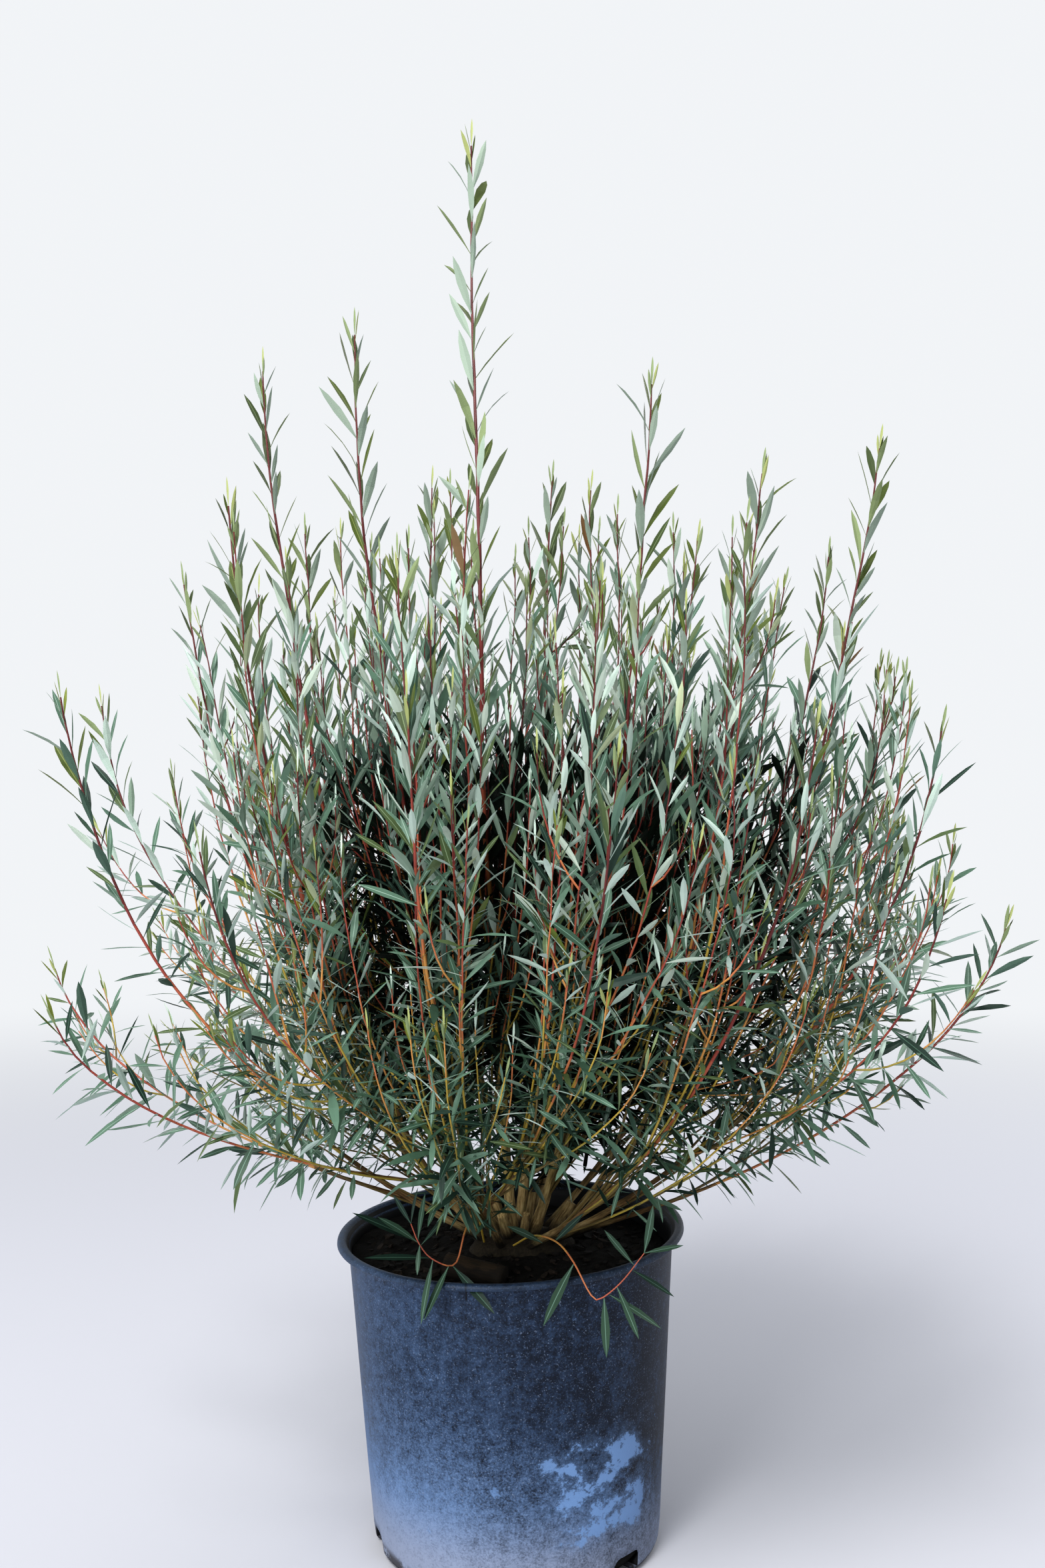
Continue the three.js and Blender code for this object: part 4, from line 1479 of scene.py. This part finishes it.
def leafCollection():
    shapes = bpy.data.collections.new("leafShapes")
    for number, shape in enumerate(leafShapes):
        name = f"leafShape{number}"
        stations = leafSpec["stations" if shape[-1] else "plainStations"]
        if number == innerShape:
            stations = leafSpec["innerStations"]
        shapes.objects.link(bpy.data.objects.new(name, leafMesh(name, stations, *shape)))
    return shapes


def dealTint(rng, fromTip, bias, place, depth):
    # by spray: young at the tips, darker near the foot of the crown, darker inside it as painted shade, and
    # lighter to the left as painted light
    spec = tintSpec
    chance = rng.random()
    if depth < spec["skin"]:
        if fromTip < spec["tip"] and place.z > spec["tipHeight"]:
            return young if chance < spec["greenShare"] else spireGreen
        if place.z < spec["lowTop"][0] + spec["lowTop"][1] * chance:
            return rng.choice(spec["low"])
        if fromTip < spec["ruddy"][0] and chance < spec["ruddy"][1]:
            return ruddy
        if depth < spec["spire"]:
            return spireGreen if chance < spec["greenShare"] else spirePale
        if fromTip < spec["upper"]:
            return rng.choice(spec["top"])
    bias += spec["lowBias"] * (1 - smooth(place.z, *spec["lowHeights"]))
    # painted light: darker to the right, lighter to the left
    bias += spec["rightShadeBias"] * smooth(place.x, *spec["sideReach"])
    bias -= spec["leftLightBias"] * smooth(-place.x, *spec["sideReach"])
    inward = spec["inwardShadeBias"] * smooth(depth, *spec["inwardShadeDepths"])
    darkest = shade if depth > spec["shadeDepth"] else deep
    return int(clamp(round(bias + rng.gauss(0, spec["spread"]) + inward), fresh, darkest))


def leafShare(place):
    # few leaves close round the bare foot of the plant in front
    spec = leafSpec
    (top, rise), (radius, reach) = spec["bareTop"], spec["bareRadius"]
    clear = max((place.z - top) / rise, (math.hypot(place.x, place.y) - radius) / reach)
    return 1.0 if place.y > spec["bareBack"] else mix(spec["bareShare"], 1.0, smooth(clear, 0, 1))


def dressPath(path, seats, rng, leafFrom, length=leafSpec["length"], sprouting=False):
    # a seat is a leaf's place, heading, facing, size, shape and tint
    spec = leafSpec
    distance = leafFrom + rng.uniform(0, spec["startSpread"])
    turn = rng.uniform(0, 2 * math.pi)
    bias = rng.choice(tintSpec["sprays"])
    while distance < path.length - spec["endGap"]:
        place, along = path.at(distance)
        share = distance / path.length
        fromTip = path.length - distance
        nearTip = 1 - smooth(fromTip, 0.0, spec["nearTip"])
        depth = crownDepth(place)
        high = smooth(place.z, *spec["heights"])
        across = along.cross(Vector((1, 0, 0)) if abs(along.x) < 0.8 else Vector((0, 1, 0))).normalized()
        outward = (Matrix.Rotation(turn, 3, along) @ across).normalized()
        openness = mix(mix(*spec["openings"], high * 0.75 + 0.25 * share), spec["tipOpening"], nearTip)
        opening = math.radians(openness * rng.uniform(*spec["openSpread"]))
        heading = along * math.cos(opening) + outward * math.sin(opening)
        heading = (heading + up * (rng.uniform(*spec["lift"]) - spec["droop"] * (1 - high))).normalized()
        facing = along * math.sin(opening) - outward * math.cos(opening)
        facing = (facing + up * (1 - high) * rng.uniform(*spec["faceUp"])).normalized()
        roll = rng.gauss(0, spec["roll"] * mix(spec["lowRoll"], 1.0, high))
        facing = Matrix.Rotation(math.radians(roll), 3, heading) @ facing
        size = length * rng.uniform(*spec["sizeSpread"])
        size *= mix(spec["tipSize"], 1.0, smooth(fromTip, 0.0, spec["tipReach"]))
        outer = max(smooth(place.z, *spec["outerHeights"]), smooth(-depth, *spec["outerDepths"]))
        size *= mix(spec["footSize"], 1.0, smooth(share, 0, spec["footShare"]))
        size *= mix(spec["innerShare"], spec["outerShare"], outer)
        shape = tipShape
        if fromTip >= spec["tipLeaves"]:
            shape = rng.choice(slimShapes if rng.random() > outer else broadShapes)
        tint = sprout if sprouting else dealTint(rng, fromTip, bias, place, depth)
        if tint == shade:
            shape, size = innerShape, size * spec["shadeShare"]
        if rng.random() < leafShare(place):
            foot = place + outward * path.radius(distance) * spec["seat"]
            seats.append((foot, heading, facing, size, shape, tint))
        turn += math.radians(spec["turn"] + rng.uniform(-spec["turnSpread"], spec["turnSpread"]))
        gap = mix(*spec["gaps"], smooth(place.z, *spec["gapHeights"])) * mix(1.0, spec["tipGap"], nearTip)
        distance += gap * rng.uniform(*spec["gapSpread"])
    place, along = path.at(path.length)  # the last leaf stands on the tip
    tint = sprout if sprouting else dealTint(rng, 0.0, bias, place, crownDepth(place))
    seats.append((place, along, along.orthogonal(), length * spec["lastShare"], tipShape, tint))


def leafTree():
    tree, graph, given = newTree("leafTree", {"Leaf shapes": ("NodeSocketCollection", None)})
    rotation = graph.node("FunctionNodeAxesToRotation", {"primary_axis": "Z", "secondary_axis": "Y"}, [
        graph.named("FLOAT_VECTOR", "heading"), graph.named("FLOAT_VECTOR", "facing")])
    real = graph.realize(graph.scatter(given["Geometry"], given["Leaf shapes"], {
        "Instance Index": graph.named("INT", "shape"), "Rotation": rotation,
        "Scale": graph.named("FLOAT", "size")}))
    tint, side = graph.named("FLOAT", "tint"), graph.named("INT", "side")
    for number, (name, colours) in enumerate(leafTints.items()):
        gloss = 0.04 if name == "shade" else 0.25
        looks = [("upper", 0.48, gloss), ("under", 0.66, gloss * 0.7), ("rib", 0.5, gloss)]
        for which, (colour, (face, *rest)) in enumerate(zip(colours, looks)):
            chosen = graph.both(tint.maths("COMPARE", number, 0.3), side.maths("COMPARE", which, 0.3))
            real = graph.dressed(real, plainMaterial(f"leaf_{name}_{face}", paint(*colour), *rest), chosen)
    endTree(graph, real)
    return tree


def growFrom(name, points, edges, values, tree, given):
    # values are (name, kind, one for each point)
    mesh = bpy.data.meshes.new(name + "Seats")
    mesh.from_pydata(points, edges, [])
    for label, kind, numbers in values:
        setValues(mesh, label, kind, numbers)
    return grow(newPiece(name + "Seats", mesh), tree, given, name)


def makeLeaves(name, seats, tree, shapes):
    places, headings, facings, sizes, kinds, tints = zip(*seats)
    values = [("heading", "FLOAT_VECTOR", headings), ("facing", "FLOAT_VECTOR", facings),
              ("size", "FLOAT", sizes), ("shape", "INT", kinds), ("tint", "FLOAT", tints)]
    return growFrom(name, places, [], values, tree, {"Leaf shapes": shapes})


# Shoot bark, from olive at the foot over orange to dark red at the tips

shootLook = {
    "colours": ((104, 90, 54), (146, 131, 60), (172, 148, 66), (184, 133, 74), (178, 110, 72), (162, 86, 65),
                (140, 66, 56), (116, 51, 48), (94, 42, 42)),
    "byHeight": (0.46, 1.05, 0.74),  # from, to, and how much riper it makes the shoot
    "byShare": (0.1, 0.9, 0.30),
    "shades": (1.0, 0.58, 0.28),  # painted shade: how bright the same colours are, step by step into the crown
    "shadeDepths": (0.14, 0.22),
    "shadeFoot": 0.5,  # below this height only what stands further back than this is in the shade
    "shadeBack": 0.03,
}


def ripenessAt(place, path, distance, offset):
    for value, rule in ((place.z, "byHeight"), (distance / path.length, "byShare")):
        low, high, more = shootLook[rule]
        offset += more * smooth(value, low, high)
    return clamp(offset, 0.0, 0.99)


# the step of painted shade for a point of a shoot, from its depth in the crown
def shadeStepAt(place):
    look = shootLook
    if place.z <= look["shadeFoot"]:
        return float(place.y > look["shadeBack"])
    return float(sum(crownDepth(place) > limit for limit in look["shadeDepths"]))


def shootTree():
    tree, graph, given = newTree("shootTree", {"Sides": ("NodeSocketInt", shootSpec["sides"])})
    curve = graph.node("GeometryNodeMeshToCurve", {}, {"Mesh": given["Geometry"]})
    section = graph.node("GeometryNodeCurvePrimitiveCircle", {"mode": "RADIUS"}, {
        "Resolution": given["Sides"], "Radius": 1.0})
    tubes = graph.node("GeometryNodeCurveToMesh", {}, {
        "Curve": curve, "Profile Curve": section, "Scale": graph.named("FLOAT", "thick"), "Fill Caps": True})
    real = graph.realize(graph.node("GeometryNodeSetShadeSmooth", {}, {0: tubes, 2: True}))
    ripe, gloom = graph.named("FLOAT", "ripe"), graph.named("FLOAT", "gloom")
    # each colour as a lit copy and two darker copies for painted shade
    for step, share in enumerate(shootLook["shades"]):
        for number, colour in enumerate(shootLook["colours"]):
            shaded = tuple(c * share for c in paint(*colour))
            material = plainMaterial(f"shoot_{step}_{number}", shaded, mix(0.6, 0.42, share), 0.35 * share)
            chosen = graph.both(ripe > number / len(shootLook["colours"]) - 0.01, gloom > step - 0.5)
            real = graph.dressed(real, material, chosen)
    endTree(graph, real)
    return tree


def makeShoots(name, stretches, tree):
    # stretches are (path, first distance, ripeness offset)
    points, edges, thick, ripe, gloom = [], [], [], [], []
    for path, first, offset in stretches:
        kept = [i for i, distance in enumerate(path.reach) if distance >= first]
        for i in kept:
            point, distance = (path.at(first)[0], first) if i == kept[0] else (path.points[i], path.reach[i])
            if i > kept[0]:
                edges.append((len(points) - 1, len(points)))
            points.append(point)
            thick.append(path.radius(distance))
            ripe.append(ripenessAt(point, path, distance, offset))
            gloom.append(shadeStepAt(point))
    values = [("thick", "FLOAT", thick), ("ripe", "FLOAT", ripe), ("gloom", "FLOAT", gloom)]
    return growFrom(name, points, edges, values, tree, {})


# Two low sprigs that come up from the stool and bend over the rim

def throughPoints(points):
    # a smooth curve through a row of points
    ends = [points[0] * 2 - points[1], *points, points[-1] * 2 - points[-2]]

    def curve(share):
        at = min(int(share * (len(points) - 1)), len(points) - 2)
        t = share * (len(points) - 1) - at
        a, b, c, d = ends[at:at + 4]
        square, cube = a * 2 - b * 5 + c * 4 - d, b * 3 - a - c * 3 + d
        return 0.5 * (b * 2 + (c - a) * t + square * t * t + cube * t ** 3)
    return curve


sprigSpec = {
    "seed": 11,
    "step": 0.008,
    "girths": (0.0013, 0.0010, 0.0006),
    "ripeness": 0.28,
    "shapes": (0, 1, 3),
    "tints": (dark, dark, deep),
}


def makeSprigs(leafNodes, shapes, shootNodes):
    spec = sprigSpec
    rng = random.Random(spec["seed"])
    for name, rows in sprigRows.items():
        curve = throughPoints([Vector(point) * mm for point in rows["stem"]])
        path = Path(evenly(curve, spec["step"]), threeGirths(spec["girths"]), name)
        wood = makeShoots(f"sprig_{name}", [(path, 0.0, spec["ripeness"])], shootNodes)
        rideAndReplace(wood, [f"twig_{name}", f"foliage_{name}"])
        seats = []
        for row in rows["leaves"]:  # where the leaf begins and where it ends
            foot, tip = Vector(row[:3]) * mm, Vector(row[3:]) * mm
            heading = tip - foot
            facing = up + Vector((foot.x, foot.y, 0)).normalized() * 0.7
            facing += Vector((rng.uniform(-0.4, 0.4), rng.uniform(-0.4, 0.4), 0))
            seats.append((foot, heading.normalized(), facing.normalized(), heading.length,
                          rng.choice(spec["shapes"]), rng.choice(spec["tints"])))
        blades = makeLeaves(f"sprigLeaves_{name}", seats, leafNodes, shapes)
        rideAndReplace(blades, [f"foliage_{name}"])


# The groups of masses that one pair of pieces replaces

crownGroups = {
    "front": ["tall_front", "front_left", "front_right", "front_far_right", "front_left_low"],
    "leftFront": ["left_front_high", "left_front", "left_front_low", "far_left_front", "left_low"],
    "leftBack": ["left_high", "left_middle", "left_back", "far_left_back", "centre_back"],
    "right": ["right_front_high", "right_inner", "right_front", "right_low", "right_front_low"],
    "rightBack": ["right_high", "right_back", "right_back_inner", "right_back_low"],
    "back": ["back_high", "back_left", "back_right", "back_middle", "back_low", "back_left_low"],
}


def triangles(piece):
    return sum(len(face.vertices) - 2 for face in piece.data.polygons)


def makeCrown(leaders):
    low = limbSpec["lowTip"]
    rng = random.Random(shootSpec["seed"] + 1)
    leafRng = random.Random(leafSpec["seed"])
    shoots = growShoots(leaders)
    spreading = [path for path in leaders.values() if path.points[-1].z < low]
    leftward = [path for path in spreading if path.points[-1].x < 0]
    twigs = growSideTwigs(list(leaders.values()) + shoots + spreading + leftward * 3, rng)
    print("shoots", len(shoots), "side twigs", len(twigs))
    groupOf = {name: group for group, names in crownGroups.items() for name in names}
    stretches = {group: [] for group in crownGroups}
    seats = {group: [] for group in crownGroups}

    def dress(path, first, ripeness, leafFrom, *options):
        group = groupOf[path.group]
        stretches[group].append((path, first, ripeness))
        dressPath(path, seats[group], leafRng, leafFrom, *options)

    for path in leaders.values():
        tip = path.points[-1]
        isFar = tip.z < low or math.hypot(tip.x, tip.y) > limbSpec["farRed"]
        ripeness = rng.uniform(-0.1, 0.1) + (limbSpec["farRipeness"] if isFar else 0.0)
        first = max(0.0, path.bare - barkSpec["overlap"])
        dress(path, first, ripeness, max(path.bare, 0.1), leafSpec["leaderLength"])
    for path in shoots:
        ripeness = rng.uniform(-0.22, 0.16)
        dress(path, 0.0, ripeness, path.length * rng.uniform(0.08, 0.26))
    for path in twigs:
        ripeness = rng.uniform(0.0, 0.2)
        lowest, highest = twigSpec["sproutHeights"]
        sprouting = lowest < path.points[0].z < highest and rng.random() < twigSpec["sproutShare"]
        dress(path, 0.0, ripeness, twigSpec["bare"], leafSpec["length"], sprouting)

    shapes, leafNodes, shootNodes = leafCollection(), leafTree(), shootTree()
    for group, names in crownGroups.items():
        nodes = [f"foliage_{name}" for name in names]
        wood = makeShoots(f"shoots_{group}", stretches[group], shootNodes)
        rideAndReplace(wood, nodes)
        blades = makeLeaves(f"leaves_{group}", seats[group], leafNodes, shapes)
        rideAndReplace(blades, nodes)
        print(group, "leaves", len(seats[group]), "triangles", triangles(blades), "and", triangles(wood))
    makeSprigs(leafNodes, shapes, shootNodes)
    clearShapes(shapes)


addCamera(viewSpec)
addLights(lightRows)
addSky(viewSpec)
bpy.context.scene.view_settings.view_transform = "Standard"
bpy.context.scene.view_settings.look = "Medium High Contrast"

corners = [Vector((x, y, 0)) * viewSpec["floorSize"] / 2 for x, y in ((-1, -1), (1, -1), (1, 1), (-1, 1))]
floor = meshPiece("studioFloor", corners, [(0, 1, 2, 3)], floorMaterial(viewSpec))
print("studio ready")

pot = makePot()
rideAndReplace(pot, ["pot"])
print("can ready")

soil = makeSoil()
rideAndReplace(soil, ["soil"])
chips = makeChips()
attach(chips, "root")
print("potting mix ready")

leaders = growLeaders()
makeBark(leaders)
makeCrown(leaders)
print("crown ready")
